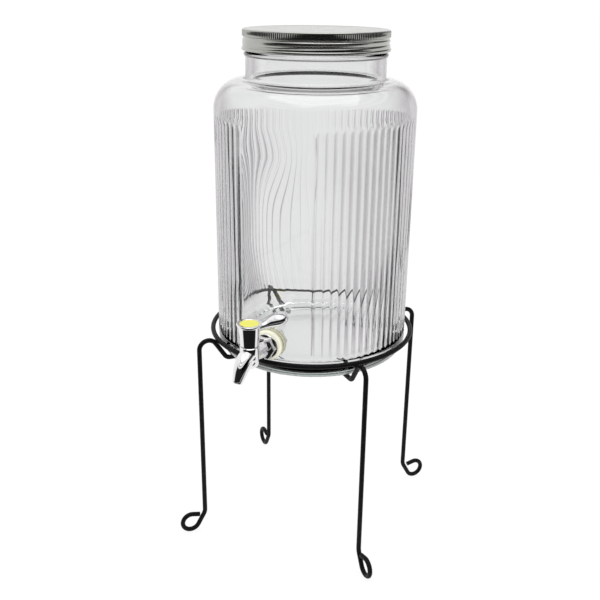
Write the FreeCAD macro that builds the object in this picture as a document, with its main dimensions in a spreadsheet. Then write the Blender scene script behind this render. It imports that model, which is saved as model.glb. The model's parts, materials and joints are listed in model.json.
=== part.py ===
"""Fluted glass drink dispenser: a jar with a screw lid and a rotary tap, standing in a wire stand.

Millimetres and degrees. +Z is up, the jar's axis is Z, the floor is z = 0 and the tap points along -Y.
"""
import FreeCAD, Part
import math
import os
import Sketcher

Vector = FreeCAD.Vector

# Driving dimensions: alias, value, meaning
DIMENSIONS = [
    ("wire_diameter", 5.0, "round wire of the stand"),
    ("ring_radius", 106.2, "ring, to the middle of the wire"),
    ("ring_height", 227.6, "ring, to the middle of the wire"),
    ("stand_turn", 4.0, "how far the stand is turned from square with the tap"),
    ("leg_radius", 127.0, "jar axis to the middle of an upright leg"),
    ("leg_slope", 57.0, "rise of the wire between its hook and its top bend"),
    ("leg_top_bend", 9.6, "bend over the top of a leg, middle of the wire"),
    ("leg_top_centre", 218.5, "height of that bend's centre"),
    ("hook_height", 205.4, "level run under the jar, middle of the wire"),
    ("hook_end", 72.0, "radius where the level run is cut off"),
    ("hook_bend", 7.0, "bend between the level run and the slope"),
    ("foot_slope", 60.0, "how steeply the wire runs out into the foot loop"),
    ("foot_bend", 12.0, "bend from the leg into that run"),
    ("loop_radius", 9.5, "foot loop, middle of the wire"),
    ("loop_centre", 143.5, "jar axis to the middle of the foot loop"),
    ("loop_close", 103.0, "angle at which the loop straightens out"),
    ("loop_tail", 8.0, "straight end of the loop, back towards the leg"),
    ("jar_radius", 100.0, "outside of the glass body"),
    ("jar_wall", 5.0, "glass body and neck"),
    ("jar_bottom", 208.2, "foot of the jar above the floor"),
    ("jar_heel", 14.0, "rounding between foot and body"),
    ("jar_foot_inner", 78.0, "inner radius of the ring the jar stands on"),
    ("jar_push_up", 4.0, "hollow under the jar"),
    ("jar_floor", 12.0, "glass thickness of the floor"),
    ("jar_inner_heel", 12.0, "rounding inside, between floor and wall"),
    ("shoulder_height", 459.0, "top of the straight body"),
    ("neck_radius", 68.4, "outside of the neck"),
    ("neck_fillet", 3.0, "hollow between shoulder and neck"),
    ("bead_height", 510.5, "bead round the neck below the lid"),
    ("bead_width", 4.0, "height of the bead"),
    ("bead_proud", 1.5, "how far the bead stands out"),
    ("finish_radius", 67.0, "neck inside the lid, without its thread"),
    ("rim_height", 531.3, "top of the glass"),
    ("rim_round", 1.6, "rounding of the rim"),
    ("reed_count", 70, "convex reeds round the body"),
    ("reed_turn", 2.5, "middle of the plain panel, round from the tap"),
    ("reed_pitch", 4.5, "angle from one reed to the next"),
    ("reed_bottom", 230.0, "where the reeds begin to rise out of the body"),
    ("reed_top", 454.0, "where the reeds have run out again"),
    ("reed_run_out", 7.0, "length of the run-out at each end"),
    ("reed_crest", 99.9, "radius of the reeds' crests"),
    ("reed_valley", 98.9, "radius where two reeds meet"),
    ("reed_root", 98.6, "bottom of the trough that the reeds fill"),
    ("lid_radius", 71.2, "outside of the knurled band"),
    ("lid_top", 533.5, "top of the lid"),
    ("lid_bottom", 513.7, "lower end of the rolled edge"),
    ("lid_sheet", 0.6, "sheet thickness"),
    ("lid_corner", 2.0, "outer rounding of the top edge"),
    ("lid_knurl_end", 527.2, "lower end of the knurled band"),
    ("lid_groove_depth", 1.1, "groove below the knurled band"),
    ("lid_curl_radius", 1.7, "rolled lower edge"),
    ("liner_radius", 68.2, "sealing disc inside the lid"),
    ("liner_sheet", 1.0, "sealing disc thickness"),
    ("liner_gap", 0.3, "free space on either side of the sealing disc"),
    ("tap_height", 244.5, "middle of the tap's shank"),
    ("seat_radius", 15.5, "flat round seats that the washers press on"),
    ("seat_proud", 0.4, "outer seat beyond the glass body"),
    ("seat_inside", 93.5, "jar axis to the inner seat"),
    ("tap_hole", 8.6, "radius of the hole in the glass"),
    ("shank_radius", 8.0, "threaded shank"),
    ("shank_inside", 20.0, "shank length inwards from the outer seat"),
    ("shank_bore", 4.0, "radius of the water way"),
    ("washer_radius", 15.0, "both sealing washers"),
    ("washer_hole", 8.1, "radius of their holes"),
    ("outer_washer_width", 4.5, "washer outside the glass"),
    ("inner_washer_width", 3.0, "washer inside the glass"),
    ("washer_round", 1.0, "rounded rim of a washer"),
    ("nut_across", 22.0, "lock nut across flats"),
    ("nut_width", 7.0, "lock nut along the shank"),
    ("nut_hole", 8.06, "radius of its hole"),
    ("flange_radius", 12.6, "flange on the outer washer"),
    ("flange_width", 2.6, "that flange"),
    ("hex_across", 21.0, "hexagon behind the flange, across flats"),
    ("hex_width", 6.0, "that hexagon"),
    ("barrel_radius", 8.2, "tube from the hexagon to the valve"),
    ("valve_reach", 39.0, "outer seat to the valve axis"),
    ("valve_radius", 9.3, "upright valve housing"),
    ("valve_top", 14.0, "top of the housing above the shank"),
    ("valve_bottom", 9.0, "bottom of the housing below the shank"),
    ("valve_round", 8.0, "rounding of that bottom"),
    ("chamber_radius", 6.0, "bore that the plug turns in"),
    ("chamber_bottom", 7.0, "end of that bore below the shank"),
    ("bonnet_radius", 7.0, "counterbore for the bonnet ring"),
    ("bonnet_width", 4.0, "bonnet ring"),
    ("bonnet_slot", 1.6, "spanner slot across the bonnet ring"),
    ("plug_play", 0.05, "running clearance round the plug and its stem"),
    ("plug_bottom", 6.6, "end of the plug below the shank"),
    ("plug_top", 9.7, "shoulder of the plug"),
    ("plug_port", 3.5, "radius of the water way through the plug"),
    ("stem_radius", 4.0, "hole that the stem turns in"),
    ("stem_top", 27.0, "end of the stem above the shank"),
    ("stem_flat", 2.8, "flat on the stem, from its axis"),
    ("seal_section", 0.68, "radius of a sealing ring's section"),
    ("seal_groove", 1.5, "height of a sealing ring's groove"),
    ("seal_low", 4.7, "lower sealing ring below the shank"),
    ("seal_high", 6.4, "upper sealing ring above the shank"),
    ("hub_bottom", 14.5, "lower rim of the handle above the shank"),
    ("hub_top", 36.5, "top of the handle's rim"),
    ("hub_radius", 9.0, "handle at its lower rim"),
    ("hub_shoulder", 10.2, "handle below its flared rim"),
    ("hub_rim", 12.2, "flared rim"),
    ("hub_cup", 7.25, "hollow inside the handle"),
    ("hub_boss", 5.6, "boss that takes the stem"),
    ("hub_web", 29.5, "height where the hollow ends"),
    ("disc_radius", 9.1, "recess for the disc on top"),
    ("disc_depth", 1.4, "that recess"),
    ("screw_radius", 1.5, "screw that holds the handle"),
    ("screw_head", 3.2, "its head"),
    ("screw_recess", 2.5, "recess for its head"),
    ("screw_length", 13.0, "its shank"),
    ("lever_turn", 45.0, "lever when shut, from +X towards the jar"),
]

doc = FreeCAD.newDocument("dispenser")
sheet = doc.addObject("Spreadsheet::Sheet", "Dims")
for row, (alias, value, meaning) in enumerate(DIMENSIONS, 1):
    sheet.set(f"A{row}", meaning)
    sheet.set(f"B{row}", str(value))
    sheet.setAlias(f"B{row}", alias)
doc.recompute()


class Size:
    """A number together with the sheet expression that gives it."""

    def __init__(self, value, text):
        self.value = value
        self.text = text

    @staticmethod
    def of(thing):
        return thing if isinstance(thing, Size) else Size(float(thing), str(float(thing)))

    def joined(self, other, sign, value):
        return Size(value, f"({self.text} {sign} {other.text})")

    def __add__(self, other):
        other = Size.of(other)
        return self.joined(other, "+", self.value + other.value)

    def __sub__(self, other):
        other = Size.of(other)
        return self.joined(other, "-", self.value - other.value)

    def __mul__(self, other):
        other = Size.of(other)
        return self.joined(other, "*", self.value * other.value)

    def __truediv__(self, other):
        other = Size.of(other)
        return self.joined(other, "/", self.value / other.value)

    def __neg__(self):
        return Size(0.0, "0") - self

    def __radd__(self, other):
        return Size.of(other) + self

    def __rsub__(self, other):
        return Size.of(other) - self

    def __rmul__(self, other):
        return Size.of(other) * self


class SheetSizes:
    """Gives each cell of the sheet as a Size, by its alias."""

    def __getattr__(self, alias):
        return Size(float(sheet.get(alias)), f"Dims.{alias}")


def trig(name, angle):
    """sin, cos or tan of an angle in degrees, kept as an expression."""
    angle = Size.of(angle)
    return Size(getattr(math, name)(math.radians(angle.value)), f"{name}({angle.text})")


class Bend:
    """An arc between the outline's points on either side: radius, and +1 to turn left or -1 right."""

    def __init__(self, radius, turn):
        self.radius = Size.of(radius)
        self.turn = turn


D = SheetSizes()
bodies = []


def bind(thing, path, amount):
    """Let an expression on the sheet drive a property."""
    if "Dims." in amount.text:
        thing.setExpression(path, amount.text)


def put(thing, base=(0, 0, 0), angle=0):
    """Place a sub-part: a shift, and a turn about Z."""
    base = [Size.of(part) for part in base]
    angle = Size.of(angle)
    turn = FreeCAD.Rotation(Vector(0, 0, 1), angle.value)
    thing.Placement = FreeCAD.Placement(Vector(*[part.value for part in base]), turn)
    for letter, part in zip("xyz", base):
        bind(thing, f"Placement.Base.{letter}", part)
    bind(thing, "Placement.Rotation.Angle", angle)


def new_body(label, base=(0, 0, 0), angle=0):
    body = doc.addObject("PartDesign::Body", label)
    body.Label = label
    put(body, base, angle)
    bodies.append(body)
    return body


def new_sketch(body, name, role, base=(0, 0, 0), axis=(0, 0, 1), angle=0):
    """Sketch on an origin plane of the body, shifted and turned in that plane's own axes."""
    sketch = body.newObject("Sketcher::SketchObject", f"{body.Label}_{name}")
    plane = next(part for part in body.Origin.OriginFeatures if part.Role == role)
    sketch.AttachmentSupport = (plane, [""])
    sketch.MapMode = "FlatFace"
    base = [Size.of(part) for part in base]
    angle = Size.of(angle)
    shift = Vector(*[part.value for part in base])
    sketch.AttachmentOffset = FreeCAD.Placement(shift, FreeCAD.Rotation(Vector(*axis), angle.value))
    for letter, part in zip("xyz", base):
        bind(sketch, f"AttachmentOffset.Base.{letter}", part)
    bind(sketch, "AttachmentOffset.Rotation.Angle", angle)
    return sketch


def edge_between(start, end, bend):
    """Line or arc from start to end, and which of its ends is the start."""
    if bend is None:
        return Part.LineSegment(start, end), 1
    radius = bend.radius.value
    chord = end - start
    half = chord.Length / 2
    left = Vector(-chord.y, chord.x, 0) / chord.Length
    reach = math.sqrt(max(radius * radius - half * half, 0.0))
    centre = (start + end) / 2 + left * (reach * bend.turn)
    angles = [math.atan2(point.y - centre.y, point.x - centre.x) for point in (start, end)]
    if bend.turn < 0:
        angles.reverse()
    circle = Part.Circle(centre, Vector(0, 0, 1), radius)
    return Part.ArcOfCircle(circle, angles[0], angles[1]), (1 if bend.turn > 0 else 2)


def pin_down(sketch, edge, end, point):
    """Hold one end of an edge at a point given from the sketch's origin."""
    for kind, axis, amount in (("DistanceX", -2, point[0]), ("DistanceY", -1, point[1])):
        if amount.value == 0:
            sketch.addConstraint(Sketcher.Constraint("PointOnObject", edge, end, axis))
            continue
        held = sketch.addConstraint(Sketcher.Constraint(kind, -1, 1, edge, end, amount.value))
        bind(sketch, f"Constraints[{held}]", amount)


def draw(sketch, outline, closed=True):
    """Draw points joined by lines, or by an arc where a Bend stands between two points."""
    points = []
    bends = []
    for item in outline:
        if isinstance(item, Bend):
            bends[-1] = item
        else:
            points.append((Size.of(item[0]), Size.of(item[1])))
            bends.append(None)
    spots = [Vector(x.value, y.value, 0) for x, y in points]
    count = len(points) if closed else len(points) - 1
    first_ends = []
    for i in range(count):
        edge, first = edge_between(spots[i], spots[(i + 1) % len(spots)], bends[i])
        sketch.addGeometry(edge)
        first_ends.append(first)
    last_ends = [3 - first for first in first_ends]
    for i in range(count if closed else count - 1):
        after = (i + 1) % count
        sketch.addConstraint(Sketcher.Constraint("Coincident", i, last_ends[i], after, first_ends[after]))
    for i in range(count):
        pin_down(sketch, i, first_ends[i], points[i])
        if bends[i] is not None:
            held = sketch.addConstraint(Sketcher.Constraint("Radius", i, bends[i].radius.value))
            bind(sketch, f"Constraints[{held}]", bends[i].radius)
    if not closed:
        pin_down(sketch, count - 1, last_ends[-1], points[-1])
    return sketch


def draw_circle(sketch, radius, centre=(0, 0)):
    radius = Size.of(radius)
    centre = (Size.of(centre[0]), Size.of(centre[1]))
    middle = Vector(centre[0].value, centre[1].value, 0)
    edge = sketch.addGeometry(Part.Circle(middle, Vector(0, 0, 1), radius.value))
    held = sketch.addConstraint(Sketcher.Constraint("Radius", edge, radius.value))
    bind(sketch, f"Constraints[{held}]", radius)
    pin_down(sketch, edge, 3, centre)
    return sketch


def draw_hexagon(sketch, across):
    """Hexagon about the sketch's origin with two flats level."""
    low = across / 2
    side = across * math.sqrt(3) / 6
    far = across * math.sqrt(3) / 3
    return draw(sketch, [(-side, -low), (side, -low), (far, 0), (side, low), (-side, low), (-far, 0)])


def add(body, kind, name, profile, **settings):
    """Add a feature that works on a sketch; Sizes among the settings stay bound to the sheet."""
    feature = body.newObject(f"PartDesign::{kind}", f"{body.Label}_{name}")
    feature.Profile = profile
    for setting, amount in settings.items():
        if isinstance(amount, Size):
            setattr(feature, setting, amount.value)
            bind(feature, setting, amount)
        else:
            setattr(feature, setting, amount)
    doc.recompute()
    return feature


def revolve(body, name, sketch, axis="V_Axis"):
    return add(body, "Revolution", name, sketch, ReferenceAxis=(sketch, [axis]), Angle=360)


def cut(body, kind, name, sketch, **settings):
    """A cutting feature, which has to take glass, metal or plastic away."""
    before = body.Shape.Volume
    feature = add(body, kind, name, sketch, **settings)
    if body.Shape.Volume > before - 1.0:
        raise RuntimeError(f"{feature.Label} cuts nothing")
    return feature


def stand_ring():
    ring = doc.addObject("Part::Torus", "stand_ring")
    ring.Label = "stand_ring"
    bind(ring, "Radius1", D.ring_radius)
    bind(ring, "Radius2", D.wire_diameter / 2)
    put(ring, (0, 0, D.ring_height))
    bodies.append(ring)


def stand_leg(label, quarter):
    """One bent wire: hook under the jar, slope, bend over the top, upright, foot loop."""
    leg = new_body(label, angle=D.stand_turn + 45 + 90 * quarter)
    rise, run = trig("sin", D.leg_slope), trig("cos", D.leg_slope)
    top_in = (D.leg_radius - D.leg_top_bend - D.leg_top_bend * rise,
              D.leg_top_centre + D.leg_top_bend * run)
    hook_out_height = D.hook_height + D.hook_bend * (1 - run)
    hook_out = (top_in[0] - (top_in[1] - hook_out_height) / trig("tan", D.leg_slope), hook_out_height)
    hook_in = (hook_out[0] - D.hook_bend * rise, D.hook_height)

    steep, flat = trig("sin", D.foot_slope), trig("cos", D.foot_slope)
    loop_height = D.loop_radius + D.wire_diameter / 2

    def on_loop(angle):
        return (D.loop_centre + D.loop_radius * trig("cos", angle),
                loop_height + D.loop_radius * trig("sin", angle))

    loop_in = on_loop(270 - D.foot_slope)
    foot_out_radius = D.leg_radius + D.foot_bend * (1 - steep)
    foot_out_height = loop_in[1] + (loop_in[0] - foot_out_radius) * trig("tan", D.foot_slope)
    foot_top = (D.leg_radius, foot_out_height + D.foot_bend * flat)
    loop_out = on_loop(D.loop_close)
    tail = (loop_out[0] - D.loop_tail * trig("sin", D.loop_close),
            loop_out[1] + D.loop_tail * trig("cos", D.loop_close))

    path = new_sketch(leg, "path", "XZ_Plane")
    draw(path, [
        (D.hook_end, D.hook_height),
        hook_in, Bend(D.hook_bend, 1), hook_out,
        top_in, Bend(D.leg_top_bend, -1), (D.leg_radius, D.leg_top_centre),
        foot_top, Bend(D.foot_bend, 1), (foot_out_radius, foot_out_height),
        loop_in, Bend(D.loop_radius, 1), on_loop(330), Bend(D.loop_radius, 1), loop_out,
        tail,
    ], closed=False)
    section = new_sketch(leg, "section", "YZ_Plane", base=(0, 0, D.hook_end))
    draw_circle(section, D.wire_diameter / 2, (0, D.hook_height))
    doc.recompute()
    pipe = leg.newObject("PartDesign::AdditivePipe", f"{label}_wire")
    pipe.Profile = section
    pipe.Spine = (path, [f"Edge{i}" for i in range(1, path.GeometryCount + 1)])
    doc.recompute()


def glass_jar():
    """Pressed glass jar: revolved wall, a trough round the body filled with reeds, seats and tap hole."""
    jar = new_body("glass_jar")
    bottom = D.jar_bottom
    floor = bottom + D.jar_floor
    inside = D.jar_radius - D.jar_wall
    mouth = D.neck_radius - D.jar_wall
    neck_turn = D.neck_radius + D.neck_fillet
    shoulder = D.jar_radius - neck_turn
    shoulder_top = D.shoulder_height + shoulder
    half_bead = D.bead_width / 2
    bead_arc = (half_bead * half_bead + D.bead_proud * D.bead_proud) / (2 * D.bead_proud)
    dome = (D.jar_foot_inner * D.jar_foot_inner + D.jar_push_up * D.jar_push_up) / (2 * D.jar_push_up)
    profile = new_sketch(jar, "profile", "XZ_Plane")
    draw(profile, [
        (0, bottom + D.jar_push_up), Bend(dome, -1), (D.jar_foot_inner, bottom),
        (D.jar_radius - D.jar_heel, bottom), Bend(D.jar_heel, 1), (D.jar_radius, bottom + D.jar_heel),
        (D.jar_radius, D.shoulder_height), Bend(shoulder, 1), (neck_turn, shoulder_top),
        Bend(D.neck_fillet, -1), (D.neck_radius, shoulder_top + D.neck_fillet),
        (D.neck_radius, D.bead_height - half_bead), Bend(bead_arc, 1),
        (D.neck_radius, D.bead_height + half_bead),
        (D.finish_radius, D.bead_height + half_bead + (D.neck_radius - D.finish_radius)),
        (D.finish_radius, D.rim_height - D.rim_round), Bend(D.rim_round, 1),
        (D.finish_radius - D.rim_round, D.rim_height),
        (mouth + D.rim_round, D.rim_height), Bend(D.rim_round, 1), (mouth, D.rim_height - D.rim_round),
        (mouth, shoulder_top + D.neck_fillet), Bend(D.neck_fillet + D.jar_wall, 1),
        (neck_turn, shoulder_top - D.jar_wall), Bend(shoulder - D.jar_wall, -1),
        (inside, D.shoulder_height),
        (inside, floor + D.jar_inner_heel), Bend(D.jar_inner_heel, -1), (inside - D.jar_inner_heel, floor),
        (0, floor),
    ])
    revolve(jar, "wall", profile)

    reed_arc = D.reed_pitch * D.reed_count
    beyond = D.jar_radius + 2
    trough = new_sketch(jar, "trough", "YZ_Plane", axis=(0, 1, 0), angle=D.reed_turn)
    draw(trough, [
        (D.jar_radius, D.reed_bottom), (beyond, D.reed_bottom), (beyond, D.reed_top),
        (D.jar_radius, D.reed_top), (D.reed_root, D.reed_top - D.reed_run_out),
        (D.reed_root, D.reed_bottom + D.reed_run_out),
    ])
    cut(jar, "Groove", "reed_trough", trough, ReferenceAxis=(trough, ["V_Axis"]),
        Midplane=True, Angle=reed_arc)

    half_pitch = D.reed_pitch / 2
    half_width = D.reed_valley * trig("sin", half_pitch)
    valley = D.reed_valley * trig("cos", half_pitch)
    rise = D.reed_crest - valley
    reed_round = (half_width * half_width + rise * rise) / (2 * rise)
    reed = new_sketch(jar, "reed", "XY_Plane", base=(0, 0, D.reed_bottom),
                      angle=360 - reed_arc / 2 + half_pitch + D.reed_turn)
    draw(reed, [
        (-half_width, inside + 1), (half_width, inside + 1),
        (half_width, valley), Bend(reed_round, 1), (-half_width, valley),
    ])
    first = add(jar, "Pad", "first_reed", reed, Length=D.reed_top - D.reed_bottom)
    ring = jar.newObject("PartDesign::PolarPattern", "glass_jar_reeds")
    ring.Originals = [first]
    ring.Axis = (reed, ["N_Axis"])
    ring.Angle = (reed_arc - D.reed_pitch).value
    bind(ring, "Angle", reed_arc - D.reed_pitch)
    ring.Occurrences = int(D.reed_count.value)
    bind(ring, "Occurrences", D.reed_count)
    jar.Tip = ring
    doc.recompute()

    outer = new_sketch(jar, "outer_seat", "XZ_Plane", base=(0, 0, inside + 1))
    draw_circle(outer, D.seat_radius, (0, D.tap_height))
    add(jar, "Pad", "outer_pad", outer, Length=D.jar_wall + D.seat_proud - 1)
    inner = new_sketch(jar, "inner_seat", "XZ_Plane", base=(0, 0, D.seat_inside))
    draw_circle(inner, D.seat_radius, (0, D.tap_height))
    add(jar, "Pad", "inner_pad", inner, Length=D.jar_radius - D.seat_inside - 2)
    hole = new_sketch(jar, "tap_hole", "XZ_Plane", base=(0, 0, D.seat_inside - 5))
    draw_circle(hole, D.tap_hole, (0, D.tap_height))
    cut(jar, "Pocket", "hole", hole, Length=D.jar_wall + 20, Reversed=True)


def lid_shell():
    """Stamped screw lid: flat top, knurled band, groove, skirt and rolled edge."""
    lid = new_body("lid_shell")
    outer = D.lid_radius
    inner = outer - D.lid_sheet
    groove = D.lid_groove_depth
    curl_top = D.lid_bottom + D.lid_curl_radius * 1.8
    under_top = D.lid_top - D.lid_sheet
    corner_height = D.lid_top - D.lid_corner
    inner_corner = D.lid_corner - D.lid_sheet
    profile = new_sketch(lid, "profile", "XZ_Plane")
    draw(profile, [
        (0, under_top), (outer - D.lid_corner, under_top), Bend(inner_corner, -1), (inner, corner_height),
        (inner, D.lid_knurl_end), (inner - groove, D.lid_knurl_end - groove),
        (inner - groove, D.lid_knurl_end - 2 * groove), (inner, D.lid_knurl_end - 3 * groove),
        (inner, D.lid_bottom), Bend(D.lid_curl_radius, 1), (outer, curl_top),
        (outer, D.lid_knurl_end - 3 * groove), (outer - groove, D.lid_knurl_end - 2 * groove),
        (outer - groove, D.lid_knurl_end - groove), (outer, D.lid_knurl_end),
        (outer, corner_height), Bend(D.lid_corner, 1), (outer - D.lid_corner, D.lid_top),
        (0, D.lid_top),
    ])
    revolve(lid, "shell", profile)


def lid_liner():
    liner = new_body("lid_liner")
    top = D.lid_top - D.lid_sheet - D.liner_gap
    profile = new_sketch(liner, "profile", "XZ_Plane")
    draw(profile, [
        (0, top - D.liner_sheet), (D.liner_radius, top - D.liner_sheet), (D.liner_radius, top), (0, top),
    ])
    revolve(liner, "disc", profile)


def tap_frame():
    """Tap pieces are drawn with x outwards from the outer seat and z up from the shank's axis."""
    return {"base": (0, -(D.jar_radius + D.seat_proud), D.tap_height), "angle": 270}


def valve_frame(angle):
    """Pieces on the valve axis, turned so that their own x points where the angle says."""
    return {"base": (0, -(D.jar_radius + D.seat_proud + D.valve_reach), D.tap_height), "angle": angle}


def tap_body():
    """One moulding: shank, flange, hexagon, barrel, upright valve housing and beak-shaped spout."""
    tap = new_body("tap_body", **tap_frame())
    flange_end = D.outer_washer_width + D.flange_width
    profile = new_sketch(tap, "barrel_profile", "XZ_Plane")
    draw(profile, [
        (-D.shank_inside, 0), (D.valve_reach, 0), (D.valve_reach, D.barrel_radius),
        (flange_end, D.barrel_radius), (flange_end, D.flange_radius - 1), Bend(1.0, 1),
        (flange_end - 1, D.flange_radius), (D.outer_washer_width, D.flange_radius),
        (D.outer_washer_width, D.shank_radius), (-D.shank_inside, D.shank_radius),
    ])
    revolve(tap, "barrel", profile, axis="H_Axis")

    hexagon = new_sketch(tap, "hexagon", "YZ_Plane", base=(0, 0, flange_end - 1))
    draw_hexagon(hexagon, D.hex_across)
    add(tap, "Pad", "hex_collar", hexagon, Length=D.hex_width + 1)

    housing = new_sketch(tap, "housing", "XZ_Plane", base=(D.valve_reach, 0, 0))
    draw(housing, [
        (0, -D.valve_bottom), (D.valve_radius - D.valve_round, -D.valve_bottom), Bend(D.valve_round, 1),
        (D.valve_radius, D.valve_round - D.valve_bottom), (D.valve_radius, D.valve_top), (0, D.valve_top),
    ])
    revolve(tap, "valve_housing", housing)

    def spout_section(name, out, up, slope, radius):
        ring = new_sketch(tap, name, "YZ_Plane", base=(0, up, D.valve_reach + out), axis=(1, 0, 0), angle=slope)
        return draw_circle(ring, radius)

    # Sections down the spout and down its water way: distance from the valve axis, height, slope, radius
    beak = [(3.0, 4.0, 15, 8.5), (10.0, 2.0, 35, 8.3), (18.0, -5.0, 50, 7.0), (24.5, -14.2, 58, 4.6)]
    way = [(3.0, 0.5, 10, 3.4), (10.5, -0.8, 35, 3.4), (18.0, -6.5, 50, 3.2), (24.5, -14.2, 58, 3.0)]
    outside = [spout_section(f"spout_{i}", *station) for i, station in enumerate(beak)]
    add(tap, "AdditiveLoft", "spout", outside[0], Sections=outside[1:])
    water = [spout_section(f"spout_way_{i}", *station) for i, station in enumerate(way)]
    chamber = new_sketch(tap, "chamber", "XY_Plane", base=(0, 0, D.valve_top))
    draw_circle(chamber, D.chamber_radius, (D.valve_reach, 0))
    cut(tap, "Pocket", "chamber_bore", chamber, Length=D.valve_top + D.chamber_bottom)
    counterbore = new_sketch(tap, "counterbore", "XY_Plane", base=(0, 0, D.valve_top))
    draw_circle(counterbore, D.bonnet_radius, (D.valve_reach, 0))
    cut(tap, "Pocket", "bonnet_seat", counterbore, Length=D.bonnet_width)
    cut(tap, "SubtractiveLoft", "spout_bore", water[0], Sections=water[1:])
    bore = new_sketch(tap, "shank_way", "YZ_Plane", base=(0, 0, -D.shank_inside))
    draw_circle(bore, D.shank_bore)
    cut(tap, "Pocket", "shank_way_bore", bore, Length=D.shank_inside + D.valve_reach - 2, Reversed=True)


def washer(label, start, width):
    """Sealing washer on the shank, from start outwards."""
    ring = new_body(label, **tap_frame())
    profile = new_sketch(ring, "profile", "XZ_Plane")
    far = D.washer_radius
    soft = D.washer_round
    draw(profile, [
        (start, D.washer_hole), (start + width, D.washer_hole), (start + width, far - soft), Bend(soft, 1),
        (start + width - soft, far), (start + soft, far), Bend(soft, 1), (start, far - soft),
    ])
    revolve(ring, "ring", profile, axis="H_Axis")


def glass_at_tap():
    return D.jar_radius + D.seat_proud - D.seat_inside


def lock_nut():
    nut = new_body("lock_nut", **tap_frame())
    outline = new_sketch(nut, "outline", "YZ_Plane",
                         base=(0, 0, -(glass_at_tap() + D.inner_washer_width + D.nut_width)))
    draw_hexagon(outline, D.nut_across)
    draw_circle(outline, D.nut_hole)
    add(nut, "Pad", "hexagon", outline, Length=D.nut_width)


def bonnet_ring():
    """Ring screwed into the housing's top, which keeps the plug down."""
    ring = new_body("bonnet_ring", **valve_frame(270))
    outer = D.bonnet_radius - D.plug_play
    low = D.valve_top - D.bonnet_width
    profile = new_sketch(ring, "profile", "XZ_Plane")
    draw(profile, [(D.stem_radius, low), (outer, low), (outer, D.valve_top), (D.stem_radius, D.valve_top)])
    revolve(ring, "ring", profile)
    half = D.bonnet_slot / 2
    long = D.bonnet_radius + 1
    slot = new_sketch(ring, "slot", "XY_Plane", base=(0, 0, D.valve_top))
    draw(slot, [(-long, -half), (long, -half), (long, half), (-long, half)])
    cut(ring, "Pocket", "spanner_slot", slot, Length=D.bonnet_width / 3)


def valve_plug():
    """Turning plug with a cross port, grooves for two sealing rings and a flatted stem."""
    plug = new_body("valve_plug", **valve_frame(D.lever_turn))
    full = D.chamber_radius - D.plug_play
    groove = full - 2 * D.seal_section
    stem = D.stem_radius - D.plug_play
    half = D.seal_groove / 2
    low = -D.seal_low
    profile = new_sketch(plug, "profile", "XZ_Plane")
    draw(profile, [
        (0, -D.plug_bottom), (full, -D.plug_bottom), (full, low - half), (groove, low - half),
        (groove, low + half), (full, low + half), (full, D.seal_high - half), (groove, D.seal_high - half),
        (groove, D.seal_high + half), (full, D.seal_high + half), (full, D.plug_top), (stem, D.plug_top),
        (stem, D.stem_top), (D.screw_radius, D.stem_top), (D.screw_radius, D.stem_top - D.screw_length + 2),
        (0, D.stem_top - D.screw_length + 2),
    ])
    revolve(plug, "plug", profile)
    port = new_sketch(plug, "port", "YZ_Plane", axis=(0, -1, 0), angle=D.lever_turn)
    draw_circle(port, D.plug_port)
    cut(plug, "Pocket", "cross_port", port, Length=4 * D.chamber_radius, Midplane=True)
    half_flat = D.stem_radius + 1
    flat = new_sketch(plug, "flat", "XY_Plane", base=(0, 0, D.valve_top + 2))
    draw(flat, [(D.stem_flat, -half_flat), (half_flat, -half_flat), (half_flat, half_flat),
                (D.stem_flat, half_flat)])
    cut(plug, "Pocket", "stem_flat", flat, Length=D.stem_top - D.valve_top, Reversed=True)


def sealing_ring(label, height):
    ring = doc.addObject("Part::Torus", label)
    ring.Label = label
    bind(ring, "Radius1", D.chamber_radius - D.seal_section - D.plug_play * 0.6)
    bind(ring, "Radius2", D.seal_section)
    frame = valve_frame(0)["base"]
    put(ring, (frame[0], frame[1], frame[2] + height))
    bodies.append(ring)


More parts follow.
